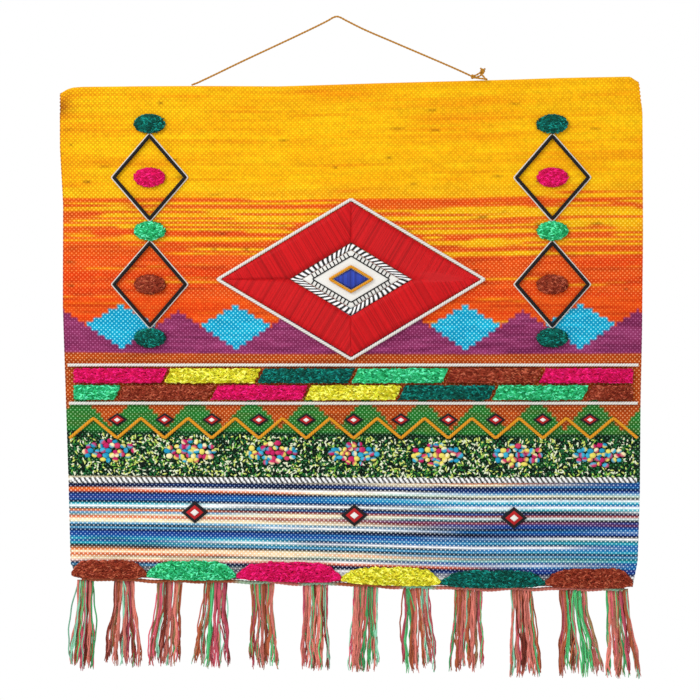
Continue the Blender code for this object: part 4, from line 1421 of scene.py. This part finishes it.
left, right = LEFT_EDGE[4][0] + 2 * SEWN_INSET, RIGHT_EDGE[4][0] - 2 * SEWN_INSET
pitch = (right - left) / BLOCKS_IN_ROW
inner = pitch * np.arange(1, BLOCKS_IN_ROW)
BLOCK_ENDS = {
    "a": np.concatenate(([0.0], inner, [BLOCKS_IN_ROW * pitch])),
    "b": np.concatenate(([0.0], inner - pitch / 2, [inner[-1] + pitch / 2, inner[-1] + pitch])),
}
grid = np.meshgrid(np.linspace(0.02, 0.98, 30), np.linspace(0.08, 0.92, 9))
for row, middle in BLOCK_ROW_Z.items():
    ends = left + BLOCK_ENDS[row]
    for k, colour_name in enumerate(BLOCK_COLOURS[row]):
        first, last = ends[k] + BLOCK_SPACE / 2, ends[k + 1] - BLOCK_SPACE / 2
        leans = (BLOCK_SLANT if k > 0 else 0.0, BLOCK_SLANT if k < len(ends) - 2 else 0.0)
        spot, height, limit = block_shape(middle, first, last, *leans)
        cells = round((last - first) / BLOCK_LOCK_STEP), round(BLOCK_HIGH / BLOCK_LOCK_STEP)
        seed = 20 * ord(row) + k
        x, z = spot(*jittered(400 + seed, *cells))
        base = mound(*spot(*grid), height, colour_name)
        locks = pile_locks(500 + seed, x, z, height, limit, colour_name)
        make_tuft(f"pile_block_{row}{k + 1}", f"band_block_{row}{k + 1}", base, locks, colour_name)
print("block locks, last one:", len(x))

# %% [markdown]
# ## Diamonds
#
# The medallion and the columns are built on diamonds. A diamond's line at a distance d from its
# middle is the outer one scaled by d over the outer distance. Carrying a profile of distance and
# height round it gives mitred corners for nothing. Threads that run square to a side are laid in
# that facet's own axes: d from the middle and s along the side.

# %% Diamond lines
MIDDLE_X, MEDALLION_Z = 0.0126, -0.2365
HALF_WIDE, HALF_HIGH = 0.117, 0.070
SLOPE = math.hypot(HALF_WIDE, HALF_HIGH)
OUTER = HALF_WIDE * HALF_HIGH / SLOPE
COUCHED_RADIUS, COUCHED_PITCH, CORD_RINGS_APART = 1.6 * MM, 5 * MM, 0.7 * MM
FELT_THICK = 1.8 * MM
FACETS = ((1, 1), (-1, 1), (-1, -1), (1, -1))


def diamond(half_wide, half_high, steps):
    """x and z round a diamond from its right corner, this many steps a side."""
    turn = np.arange(4 * steps) / steps
    side, share = turn.astype(int) % 4, (turn % 1)[:, None]
    corners = np.array(((1, 0), (0, 1), (-1, 0), (0, -1), (1, 0)), float)
    spot = (1 - share) * corners[side] + share * corners[side + 1]
    return spot[:, 0] * half_wide, spot[:, 1] * half_high


def half_sizes(distance):
    """Half the width and height of the medallion's diamond at this distance from its middle."""
    return HALF_WIDE * distance / OUTER, HALF_HIGH * distance / OUTER


def medallion_line(distance, steps):
    """x and z round the medallion at this distance from its middle."""
    x, z = diamond(*half_sizes(distance), steps)
    return MIDDLE_X + x, MEDALLION_Z + z


def facet_spot(d, s, across, up):
    """x and z on the facet to the right (across 1) or left (-1), above (up 1) or below (-1)."""
    x = d * HALF_HIGH / SLOPE - s * HALF_WIDE / SLOPE
    z = d * HALF_WIDE / SLOPE + s * HALF_HIGH / SLOPE
    return MIDDLE_X + across * x, MEDALLION_Z + up * z


def facet_ends(distance):
    """Where a side at this distance starts and ends: s = -d w / h and s = d h / w."""
    return -distance * HALF_WIDE / HALF_HIGH, distance * HALF_HIGH / HALF_WIDE


def cord_on_cloth(x, z, radius, pitch, colour, off=LIFT, closed=True, corner=2):
    """A plied cord laid on the cloth's face along x and z, with its corners a little rounded."""
    line = soften(evenly(np.stack((x, z), axis=-1), CORD_RINGS_APART, closed), corner, closed)
    path = standing(line[:, 0], line[:, 1], off + radius)
    return plied_cord(path, radius, pitch, colour, sides=8, closed=closed)


print(f"medallion reaches {OUTER * 1000:.1f} mm from its middle to a side")

# %% [markdown]
# ## The medallion
#
# From outside in: a white cord, a field of red satin stitch, a black and white braid, white felt
# with blanket stitch, an ochre cord and a blue satin centre. Satin stitch is straight threads
# laid side by side over padding. Here they run square to each side and stop at the mitre, so the
# four facets catch light differently. A thread's height is an arch over its length.

# %% Satin field
SATIN_FROM, SATIN_TO, SATIN_SPACING = 28.5 * MM, 59.4 * MM, 0.72 * MM
SATIN_RADIUS, SATIN_LOW, SATIN_ARCH = 0.46 * MM, 0.66 * FELT_THICK, 0.62 * FELT_THICK
SHORTEST_THREAD = 1.5 * MM
RED, RED_DEEP = dye("E61C22"), dye("A81216")


def satin_threads():
    """d, s and arch of one facet's threads. A thread at s runs from the inner line, or from the
    mitre where s lies past its end, out to the outer line. The mitres are at d = -s h / w and
    d = s w / h, and the arch is sin(pi t)^0.35 along the thread."""
    first, last = facet_ends(SATIN_TO)
    s = np.arange(first + SATIN_SPACING, last - SATIN_SPACING, SATIN_SPACING)
    mitre = np.maximum(-s * HALF_HIGH / HALF_WIDE, s * HALF_WIDE / HALF_HIGH)
    start = np.minimum(np.maximum(SATIN_FROM, mitre), SATIN_TO - SHORTEST_THREAD)
    t = np.linspace(0, 1, 7)[None, :]
    d = start[:, None] + (SATIN_TO - start)[:, None] * t
    arch = np.sin(math.pi * np.clip(t, 0.04, 0.96)) ** 0.35
    return d, s[:, None], arch + 0 * d


parts = []
chance = np.random.default_rng(41)
d, s, arch = satin_threads()
for across, up in FACETS:
    off = LIFT + SATIN_LOW + SATIN_ARCH * arch
    off = off + chance.uniform(-0.12, 0.12, len(s))[:, None] * MM
    rings = tubes(standing(*facet_spot(d, s, across, up), off), SATIN_RADIUS, 4)
    tone = 0.75 * chance.uniform(0, 1, len(s)) ** 2
    colour = blend(np.broadcast_to(RED, (len(s), 3)), RED_DEEP, tone)
    parts.append((rings, tube_faces(len(s), 7, 4), colour[:, None, None] + 0 * rings))
make_piece("satin_field", join(parts), satin_finish, "satin_thread")
print("satin threads:", sum(part[0].shape[0] for part in parts))

# %% [markdown]
# ## The padding
#
# The satin's padding is the solid of the frame itself, which stays in view between the threads.
# It has no dye attribute, so its finish is the fibre one with the attribute unplugged and one
# colour set in its place.

# %% Padding under the satin
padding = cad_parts["medallion_satin"]
padding_finish = fibre_material("satin_padding", 0.8, 0.1, 900, 0.15, 0.5)
nodes, links = padding_finish.node_tree.nodes, padding_finish.node_tree.links
mix = next(node for node in nodes if node.bl_idname == "ShaderNodeMix")
links.remove(mix.inputs[6].links[0])
mix.inputs[6].default_value = (*(0.5 * (RED + RED_DEEP)), 1)
padding.data.materials.clear()
padding.data.materials.append(padding_finish)
print("padding keeps its solid:", padding.name)

# %% [markdown]
# ## Braid and blanket stitch
#
# A braid is a flat profile of seven points carried along a line. Its black and white stripes
# slant, since their phase grows across the braid as well as along it, and ridges follow them. The
# felt's edge is pressed down, and its black stitches run square to each side.

# %% Braid round the felt
BRAID_FROM, BRAID_TO, BRAID_PITCH = 22.9 * MM, 28.0 * MM, 4.6 * MM
BRAID_THICK, BRAID_RIDGE, BRAID_SLANT = 1.1 * FELT_THICK, 0.22 * MM, 0.8
BLACK, BLACK_LIGHT = dye("100E10"), dye("1C1A1C")
BRAID_ACROSS = np.array((0.0, 0.0, 0.22, 0.5, 0.78, 1.0, 1.0))
BRAID_RISE = np.array((0.0, 0.6, 0.95, 1.0, 0.95, 0.6, 0.0))


def braid_body(x, z, run, closed):
    """A braid whose profile stands at x and z, one row for each step along it. It is black where
    sin(2 pi (run / pitch + slant x share across)) is over -0.1, and white elsewhere."""
    points = standing(x, z, LIFT + BRAID_THICK * BRAID_RISE)
    stripe = np.sin(2 * math.pi * (run[:, None] / BRAID_PITCH + BRAID_SLANT * BRAID_ACROSS))
    black = step(stripe, -0.1, 0.5)
    colours = blend(np.broadcast_to(WHITE, (*black.shape, 3)), BLACK, black)
    points[..., 1] -= BRAID_RIDGE * stripe * (BRAID_RISE > 0)
    return points[None], tube_faces(1, *black.shape, closed), colours[None]


distances = BRAID_FROM + BRAID_ACROSS * (BRAID_TO - BRAID_FROM)
lines = np.array([medallion_line(distance, 120) for distance in distances])
run = running_length(standing(*lines[3], LIFT + BRAID_THICK))
body = braid_body(lines[:, 0].T, lines[:, 1].T, run, True)
make_piece("braid_frame", body, cord_finish, "striped_braid", "medallion_braid")
print(f"braid length {run[-1]:.3f} m")

# %% Felt diamond with blanket stitch
FELT_TO, STITCH_LONG, STITCH_STEP, BAR_RADIUS = 22.4 * MM, 4.6 * MM, 3.6 * MM, 0.55 * MM
FELT_WHITE = dye("F4F2EC")


def felt_diamond(x0, z0, half_wide, half_high, low, thick, steps, pressed, power, colour):
    """A felt patch on a grid along its sides. Near the rim its face drops by the pressed share of
    its thickness, as a steep power of the way out."""
    u, v = np.meshgrid(np.linspace(0, 1, steps + 1), np.linspace(0, 1, steps + 1))
    x = x0 + (u - v) * half_wide
    z = z0 + (u + v - 1) * half_high
    rim = np.maximum(np.abs(2 * u - 1), np.abs(2 * v - 1))
    off = low + thick * (1 - pressed * rim**power)
    return *slab_on_cloth(x, z, off, low), colour


def blanket_bars(inner, outer, spacing, off):
    """Short threads across each side of the diamond, from one distance to another, and none
    within half a spacing of a corner."""
    low, high = facet_ends(inner)
    s = np.linspace(low + spacing / 2, high - spacing / 2, int((high - low) / spacing))[:, None]
    d = np.linspace(inner, outer, 4)[None, :]
    return np.concatenate([standing(*facet_spot(d, s, *facet), off) for facet in FACETS])


medallion_felt = (MIDDLE_X, MEDALLION_Z, *half_sizes(FELT_TO), LIFT, FELT_THICK)
body = join([felt_diamond(*medallion_felt, 26, 0.35, 16, FELT_WHITE)])
make_piece("felt_patch", body, felt_finish, "white_felt", "medallion_felt")
bars = blanket_bars(FELT_TO - STITCH_LONG, FELT_TO - 0.3 * MM, STITCH_STEP, LIFT + FELT_THICK)
bar_part = (tubes(bars, BAR_RADIUS, 6), tube_faces(len(bars), 4, 6), BLACK_LIGHT)
stitch_foot = medallion_line(FELT_TO - STITCH_LONG, 10)
sunk = LIFT + FELT_THICK - 0.3 * MM
foot_line = cord_on_cloth(*stitch_foot, 0.6 * MM, 3 * MM, BLACK_LIGHT, sunk)
make_piece("blanket_stitch", join([bar_part, foot_line]), cord_finish, "black_cord")
print("blanket stitches:", len(bars))

# %% Centre and cords of the medallion
CENTRE_TO, CENTRE_RISE = 7.8 * MM, 3.0 * MM
BLUE_RADIUS, BLUE_SPACING = 0.48 * MM, 0.62 * MM
CENTRE_CORD_AT, CENTRE_CORD_RADIUS = 9.8 * MM, 1.4 * MM
EDGE_CORD_AT = 61.5 * MM
BLUE, BLUE_DEEP = dye("3A55C8"), dye("232A78")
OCHRE, WHITE_CORD = dye("F2A21E"), dye("F4F1EA")

half_wide, half_high = half_sizes(CENTRE_TO)
s = np.arange(-half_wide + 0.5 * MM, half_wide, BLUE_SPACING)[:, None]
t = np.linspace(-1, 1, 11)[None, :]
x = MIDDLE_X + s + 0 * t
z = MEDALLION_Z + half_high * (1 - np.abs(s) / half_wide) * t
rise = np.sqrt(np.clip(1 - t**2, 0.0, 1)) * np.sqrt(np.clip(1 - np.abs(s) / half_wide, 0.05, 1))
on_felt = LIFT + FELT_THICK + GAP
threads = standing(x, z, on_felt + CENTRE_RISE * rise)
tone = np.random.default_rng(42).uniform(0, 0.8, len(s))
colour = blend(np.broadcast_to(BLUE, (len(s), 3)), BLUE_DEEP, tone)
centre = (tubes(threads, BLUE_RADIUS, 5), tube_faces(len(s), 11, 5), colour[:, None, None])
make_piece("satin_centre", join([centre]), satin_finish, "blue_thread", "medallion_centre")

line = medallion_line(CENTRE_CORD_AT, 8)
body = cord_on_cloth(*line, CENTRE_CORD_RADIUS, 4 * MM, OCHRE, on_felt)
make_piece("centre_cord", body, cord_finish, "ochre_cord", "medallion_centre_cord")
line = medallion_line(EDGE_CORD_AT, 8)
body = cord_on_cloth(*line, COUCHED_RADIUS, COUCHED_PITCH, WHITE_CORD)
make_piece("medallion_cord", body, cord_finish, "white_cord", "medallion_edge_cord")
print("medallion done")

# %% [markdown]
# ## Cords across the cloth
#
# Two white cords frame the tufted band, an ochre cord zigzags under it, and a striped braid
# closes the green ground. They are sewn on after weaving, so they lie on top of the face and
# follow its waves. The braid is the same profile as before, carried along a straight line.

# %% White cords, zigzag and braid
BAND_CORD_Z = {"band_cord_upper": -0.3135, "band_cord_lower": -0.3478}
ZIGZAG_TOP, ZIGZAG_BOTTOM, ZIGZAG_PEAKS = -0.3612, -0.3792, 12
LOWER_BRAID_Z, LOWER_BRAID_WIDE = -0.4170, 5.0 * MM


def selvedges(z):
    """Where a piece sewn from side to side starts and ends at this height."""
    return edge_at(LEFT_EDGE, 1, z) + SEWN_INSET, edge_at(RIGHT_EDGE, 1, z) - SEWN_INSET


for node, z in BAND_CORD_Z.items():
    x = np.linspace(*selvedges(z), 60)
    body = cord_on_cloth(x, z + 0 * x, COUCHED_RADIUS, COUCHED_PITCH, WHITE_CORD, closed=False)
    make_piece(f"couched_{node}", body, cord_finish, "white_cord", node)
zigzag_x = np.linspace(*selvedges(ZIGZAG_TOP), 2 * ZIGZAG_PEAKS + 1)
z = np.where(np.arange(len(zigzag_x)) % 2 == 0, ZIGZAG_BOTTOM, ZIGZAG_TOP)
zigzag = (zigzag_x, z, COUCHED_RADIUS, COUCHED_PITCH, OCHRE)
body = cord_on_cloth(*zigzag, closed=False, corner=4)
make_piece("couched_zigzag", body, cord_finish, "ochre_cord", "zigzag_cord")

x = np.linspace(*selvedges(LOWER_BRAID_Z), 720)
z = LOWER_BRAID_Z + LOWER_BRAID_WIDE * (BRAID_ACROSS - 0.5)
body = braid_body(x[:, None], z, x - x[0], False)
make_piece("braid_line", body, cord_finish, "striped_braid", "lower_braid")
print("zigzag corners:", len(zigzag_x))

# %% [markdown]
# ## The columns
#
# Down each side run two diamonds of black cord, with tufted ovals above, between and below them
# and in each middle. The black cord has a thin white line beside it. Both are plied cords on the
# same diamond, the white one a little further out. An oval is pile on a round mound, and its
# spots follow the sunflower rule: radius sqrt(k / n), each turned on by the golden angle.

# %% Column cords
COLUMN_OFFSET, COLUMN_TOP_Z, COLUMN_STEP = 0.1809, -0.0970, 0.0480
COLUMN_HALF_WIDE, COLUMN_HALF_HIGH = 0.0320, 0.0370
COLUMNS = {"left": MIDDLE_X - COLUMN_OFFSET, "right": MIDDLE_X + COLUMN_OFFSET}
WHITE_LINE_OUT = 2.565 * MM
BLACK_PITCH, THIN_PITCH, THIN_RADIUS = 4 * MM, 3 * MM, 0.65 * MM

for side, centre_x in COLUMNS.items():
    for place, steps_down in (("upper", 1), ("lower", 3)):
        middle = COLUMN_TOP_Z - steps_down * COLUMN_STEP
        x, z = diamond(COLUMN_HALF_WIDE, COLUMN_HALF_HIGH, 8)
        black = (centre_x + x, middle + z, COUCHED_RADIUS, BLACK_PITCH, BLACK_LIGHT)
        grow = 1 + WHITE_LINE_OUT / COLUMN_HALF_WIDE
        thin = (centre_x + grow * x, middle + grow * z, THIN_RADIUS, THIN_PITCH, WHITE_CORD)
        name, node = f"couched_diamond_{side}_{place}", f"column_diamond_{side}_{place}"
        body = join([cord_on_cloth(*black), cord_on_cloth(*thin)])
        make_piece(name, body, cord_finish, "black_cord", node)
print("column diamonds: 4")

# %% Tufted ovals
TUFT_HALF_WIDE, TUFT_HALF_HIGH, TUFT_THICK = 14.5 * MM, 8.8 * MM, 6.5 * MM
TUFT_COLOURS = ("teal", "magenta", "green", "brown", "teal")
TUFT_LOCKS, TUFT_REACH = 240, 0.96
GOLDEN = math.pi * (3 - math.sqrt(5))


def oval_shape(x0, z0):
    """Height = thickness x sqrt(1 - r^2), r measured in half sizes, and never under a tenth. The
    limit pulls a spot back along its ray to r = 0.93, a little more where the edge is ragged."""

    def height(x, z):
        r = ((x - x0) / TUFT_HALF_WIDE) ** 2 + ((z - z0) / TUFT_HALF_HIGH) ** 2
        return TUFT_THICK * np.sqrt(np.clip(1 - r, 0.01, 1))

    def limit(x, z, slack):
        r = np.hypot((x - x0) / TUFT_HALF_WIDE, (z - z0) / TUFT_HALF_HIGH)
        reach = 0.93 + 0.04 * ragged(x + z) + slack / TUFT_HALF_WIDE
        pull = np.minimum(1, reach / np.maximum(r, 0.01))
        return x0 + (x - x0) * pull, z0 + (z - z0) * pull

    return height, limit


def oval_spot(x0, z0, r, turn):
    """x and z at this share of the way out from an oval's middle."""
    return x0 + TUFT_HALF_WIDE * r * np.cos(turn), z0 + TUFT_HALF_HIGH * r * np.sin(turn)


n = np.arange(TUFT_LOCKS)
sunflower = TUFT_REACH * np.sqrt((n + 0.5) / TUFT_LOCKS), n * GOLDEN
around = np.linspace(0, 2 * math.pi, 24, endpoint=False)
rings_and_turns = np.meshgrid(np.linspace(0.02, 0.92, 8), around, indexing="ij")
for first_seed, (side, x0) in zip((700, 720), COLUMNS.items()):
    for k, colour_name in enumerate(TUFT_COLOURS):
        z0 = COLUMN_TOP_Z - k * COLUMN_STEP
        height, limit = oval_shape(x0, z0)
        x, z = oval_spot(x0, z0, *rings_and_turns)
        dome = standing(x, z, LIFT + MOUND_SHARE * height(x, z))
        # The oval's mound is dyed darker, painted shade in the gaps between the locks.
        base = dome[None], tube_faces(1, 8, 24), PILE_DYES[colour_name] * MOUND_PAINTED_SHADE
        x, z = oval_spot(x0, z0, *sunflower)
        locks = pile_locks(first_seed + k, x, z, height, limit, colour_name)
        make_tuft(f"pile_oval_{side}_{k + 1}", f"tuft_{side}_{k + 1}", base, locks, colour_name)
print("ovals:", len(COLUMNS) * len(TUFT_COLOURS))

# %% [markdown]
# ## Stitches and knots on the green
#
# The dark green ground is nearly covered with short stitches in cream, yellow and light green,
# laid every way like fallen leaves, and with lens-shaped groups of knots in bright colours. A
# stitch is a small arched tube. A knot is a low dome turned from a profile of four radii, dyed in
# two halves. There are thousands of stitches, so each has only twenty triangles, and each kind
# is one mesh.

# %% Speckle stitches
STITCHES, SPECKLE_SHORT, SPECKLE_LONG = 4300, 2.4, 4.2
LENSES, LENS_HALF_WIDE, LENS_HALF_HIGH = 7, 0.047, 0.021
GROUND_FROM, GROUND_TO, LENS_AT = 0.709, 0.790, 0.742
SPECKLE_CODES = ("F8FFDC", "E2F07C", "84C84C", "1A7438", "041E14")
SPECKLE_DYES = np.array([dye(code) for code in SPECKLE_CODES])
SPECKLE_MIX = (0.23, 0.16, 0.08, 0.25, 0.28)
STITCH_RADII, STITCH_ARCH = np.array((0.46, 0.78, 0.46)) * MM, np.array((0.1, 1.0, 0.1))

chance = np.random.default_rng(51)
u = chance.uniform(0.006, 0.994, STITCHES)
v = chance.uniform(GROUND_FROM, GROUND_TO, STITCHES)
lens_u = (np.arange(LENSES) + 0.5) / LENSES
from_lens_u = (u[:, None] - lens_u) / LENS_HALF_WIDE
from_lens_v = (v[:, None] - LENS_AT) / LENS_HALF_HIGH
inside = (from_lens_u**2 + from_lens_v**2 < 1).any(axis=1)
u, v = u[~inside], v[~inside]
x, z = np.moveaxis(cloth_point(u, v), -1, 0)
lie = chance.uniform(0, math.pi, len(x))
length = chance.uniform(SPECKLE_SHORT, SPECKLE_LONG, len(x)) * MM
t = np.array((-0.5, 0.0, 0.5))[None, :]
path_x = x[:, None] + (np.cos(lie) * length)[:, None] * t
path_z = z[:, None] + (np.sin(lie) * length)[:, None] * t
stack = chance.uniform(0, 0.9, len(x))[:, None]
paths = standing(path_x, path_z, (STITCH_ARCH + stack) * MM)
kinds = chance.choice(len(SPECKLE_DYES), len(x), p=SPECKLE_MIX)
colour = SPECKLE_DYES[kinds][:, None, None]
body = join([(tubes(paths, STITCH_RADII, 4), tube_faces(len(x), 3, 4), colour)])
make_piece("speckle_stitches", body, cord_finish, "white_cord")
print("speckle stitches:", len(x))

# %% Bright knots
KNOT_STEP = 5.2 * MM
KNOT_ROW, KNOT_SHAKE, KNOT_SIDES, KNOT_SQUASH = 0.80 * KNOT_STEP, 0.5 * MM, 9, 0.85
CLOTH_WIDE, CLOTH_HIGH, LENS_FILL = 0.525, 0.45, 0.95
KNOT_PROFILE = np.array(((2.6, 0.0), (3.0, 1.0), (2.1, 2.1), (0.5, 2.4))) * MM
KNOT_MIX = (0.24, 0.20, 0.14, 0.22, 0.10, 0.10)
KNOT_CODES = ("C81E64", "1E9AC4", "3CB4D8", "F4E468", "FFF2BC", "D83A6A")
KNOT_DYES = np.array([dye(code) for code in KNOT_CODES])
columns_of, rows_of_knots = np.meshgrid(np.arange(-16, 17), np.arange(-6, 7))
dx = (columns_of + 0.5 * (rows_of_knots % 2)).ravel() * KNOT_STEP
dz = rows_of_knots.ravel() * KNOT_ROW
lens_wide, lens_high = LENS_HALF_WIDE * CLOTH_WIDE, LENS_HALF_HIGH * CLOTH_HIGH
keep = (dx / lens_wide) ** 2 + (dz / lens_high) ** 2 < LENS_FILL
centres = cloth_point(lens_u, np.full(LENSES, LENS_AT))
x = (centres[:, None, 0] + dx[keep]).ravel()
z = (centres[:, None, 1] + dz[keep]).ravel()
x = x + chance.normal(0, KNOT_SHAKE, len(x))
z = z + chance.normal(0, KNOT_SHAKE, len(x))
turn = 2 * math.pi * np.arange(KNOT_SIDES) / KNOT_SIDES
size = chance.uniform(0.75, 1.15, (2, len(x), 1, 1))
ring_x = x[:, None, None] + size[0] * KNOT_PROFILE[None, :, None, 0] * np.cos(turn)
ring_z = z[:, None, None] + KNOT_SQUASH * size[1] * KNOT_PROFILE[None, :, None, 0] * np.sin(turn)
off = size[0] * KNOT_PROFILE[None, :, None, 1] + 0 * ring_x
kinds = chance.choice(len(KNOT_DYES), (2, len(x), 1, 1), p=KNOT_MIX)
lean = chance.uniform(0, 2 * math.pi, (len(x), 1, 1))
half = step(np.sin(turn + lean), 0.1, 0.5) * np.array((1.0, 1.0, 0.9, 0.5))[:, None]
knot_dyes = blend(*KNOT_DYES[kinds], half)
body = join([(standing(ring_x, ring_z, off), tube_faces(len(x), 4, KNOT_SIDES), knot_dyes)])
make_piece("bright_knots", body, yarn_finish, "pile_magenta")
print("knots:", len(x))

# %% [markdown]
# ## Small felt diamonds
#
# In each valley of the zigzag, and three times on the striped foot, sit three felt diamonds one
# on another: black, red and white. Each is a thin patch with a pressed rim, and the next one
# lies on top of it.

# %% Felt diamonds
FELT_LAYERS = ((1.0, "1E1C20"), (0.66, "BE2024"), (0.32, "F2EFE8"))
SMALL_FELT_THICK = 1.0 * MM
BELOW_PEAKS = 1.5 * MM
VALLEY_FELT, FOOT_FELT = (9.0 * MM, 6.0 * MM), (12.0 * MM, 10.0 * MM)
FOOT_FELT_U, FOOT_FELT_V = (0.22, 0.5, 0.78), 0.865


def felt_stack(x0, z0, half_wide, half_high):
    """Three felt diamonds one on another, each smaller than the one below."""
    stack = []
    for level, (scale, code) in enumerate(FELT_LAYERS):
        halves = half_wide * scale, half_high * scale
        low = LIFT + level * SMALL_FELT_THICK
        stack.append(felt_diamond(x0, z0, *halves, low, SMALL_FELT_THICK, 5, 0.3, 6, dye(code)))
    return stack


parts = []
for x0 in zigzag_x[2:-1:2]:
    parts += felt_stack(x0, ZIGZAG_TOP - BELOW_PEAKS, *VALLEY_FELT)
for u0 in FOOT_FELT_U:
    parts += felt_stack(*cloth_point(u0, FOOT_FELT_V), *FOOT_FELT)
make_piece("felt_diamonds", join(parts), felt_finish, "black_cord")
print("felt patches:", len(parts))

# %% [markdown]
# ## The cloth as a sheet
#
# The hanging was woven as a rectangle and its top was turned over, so its flat size is its
# width by its height plus the hem.

# %% [markdown]
# ## Floor, light and sky
#
# The photo has a white ground and soft light from the upper left. A white world gives most of
# the light, and one large soft lamp adds direction, so weave and pile get a shaded side. The
# pale floor is far below the hanging, and small enough to stay out of the front view.

# %% Floor and light
FLOOR_Z, FLOOR_HALF = -1.0, 0.8
floor_mesh = bpy.data.meshes.new("pale_floor")
floor_corners = [(-FLOOR_HALF, -FLOOR_HALF, FLOOR_Z), (FLOOR_HALF, -FLOOR_HALF, FLOOR_Z)]
floor_corners += [(FLOOR_HALF, FLOOR_HALF, FLOOR_Z), (-FLOOR_HALF, FLOOR_HALF, FLOOR_Z)]
floor_mesh.from_pydata(floor_corners, [], [(0, 1, 2, 3)])
floor = add_object("pale_floor", floor_mesh)
floor_paint, _, _, floor_shader = start_material("pale_floor", 0.9, 0.5)
floor_shader.inputs["Base Color"].default_value = (0.8, 0.8, 0.78, 1)
floor_mesh.materials.append(floor_paint)

lamp_data = bpy.data.lights.new("soft_lamp", "AREA")
lamp_data.shape = "DISK"
lamp_data.size = 0.9
lamp_data.energy = 18.0
lamp = add_object("soft_lamp", lamp_data)
lamp.location = (-1.1, -1.3, 0.65)
lamp.rotation_euler = (math.radians(58), 0, math.radians(-40))

world = bpy.data.worlds.new("white_room")
world.use_nodes = True
sky = world.node_tree.nodes["Background"]
sky.inputs["Color"].default_value = (1.0, 1.0, 1.0, 1.0)
sky.inputs["Strength"].default_value = 1.0
bpy.context.scene.world = world
bpy.context.scene.view_settings.view_transform = "Standard"
largest = max(triangle_count, key=triangle_count.get)
print("triangles in all:", sum(triangle_count.values()))
print("largest piece:", largest, triangle_count[largest])
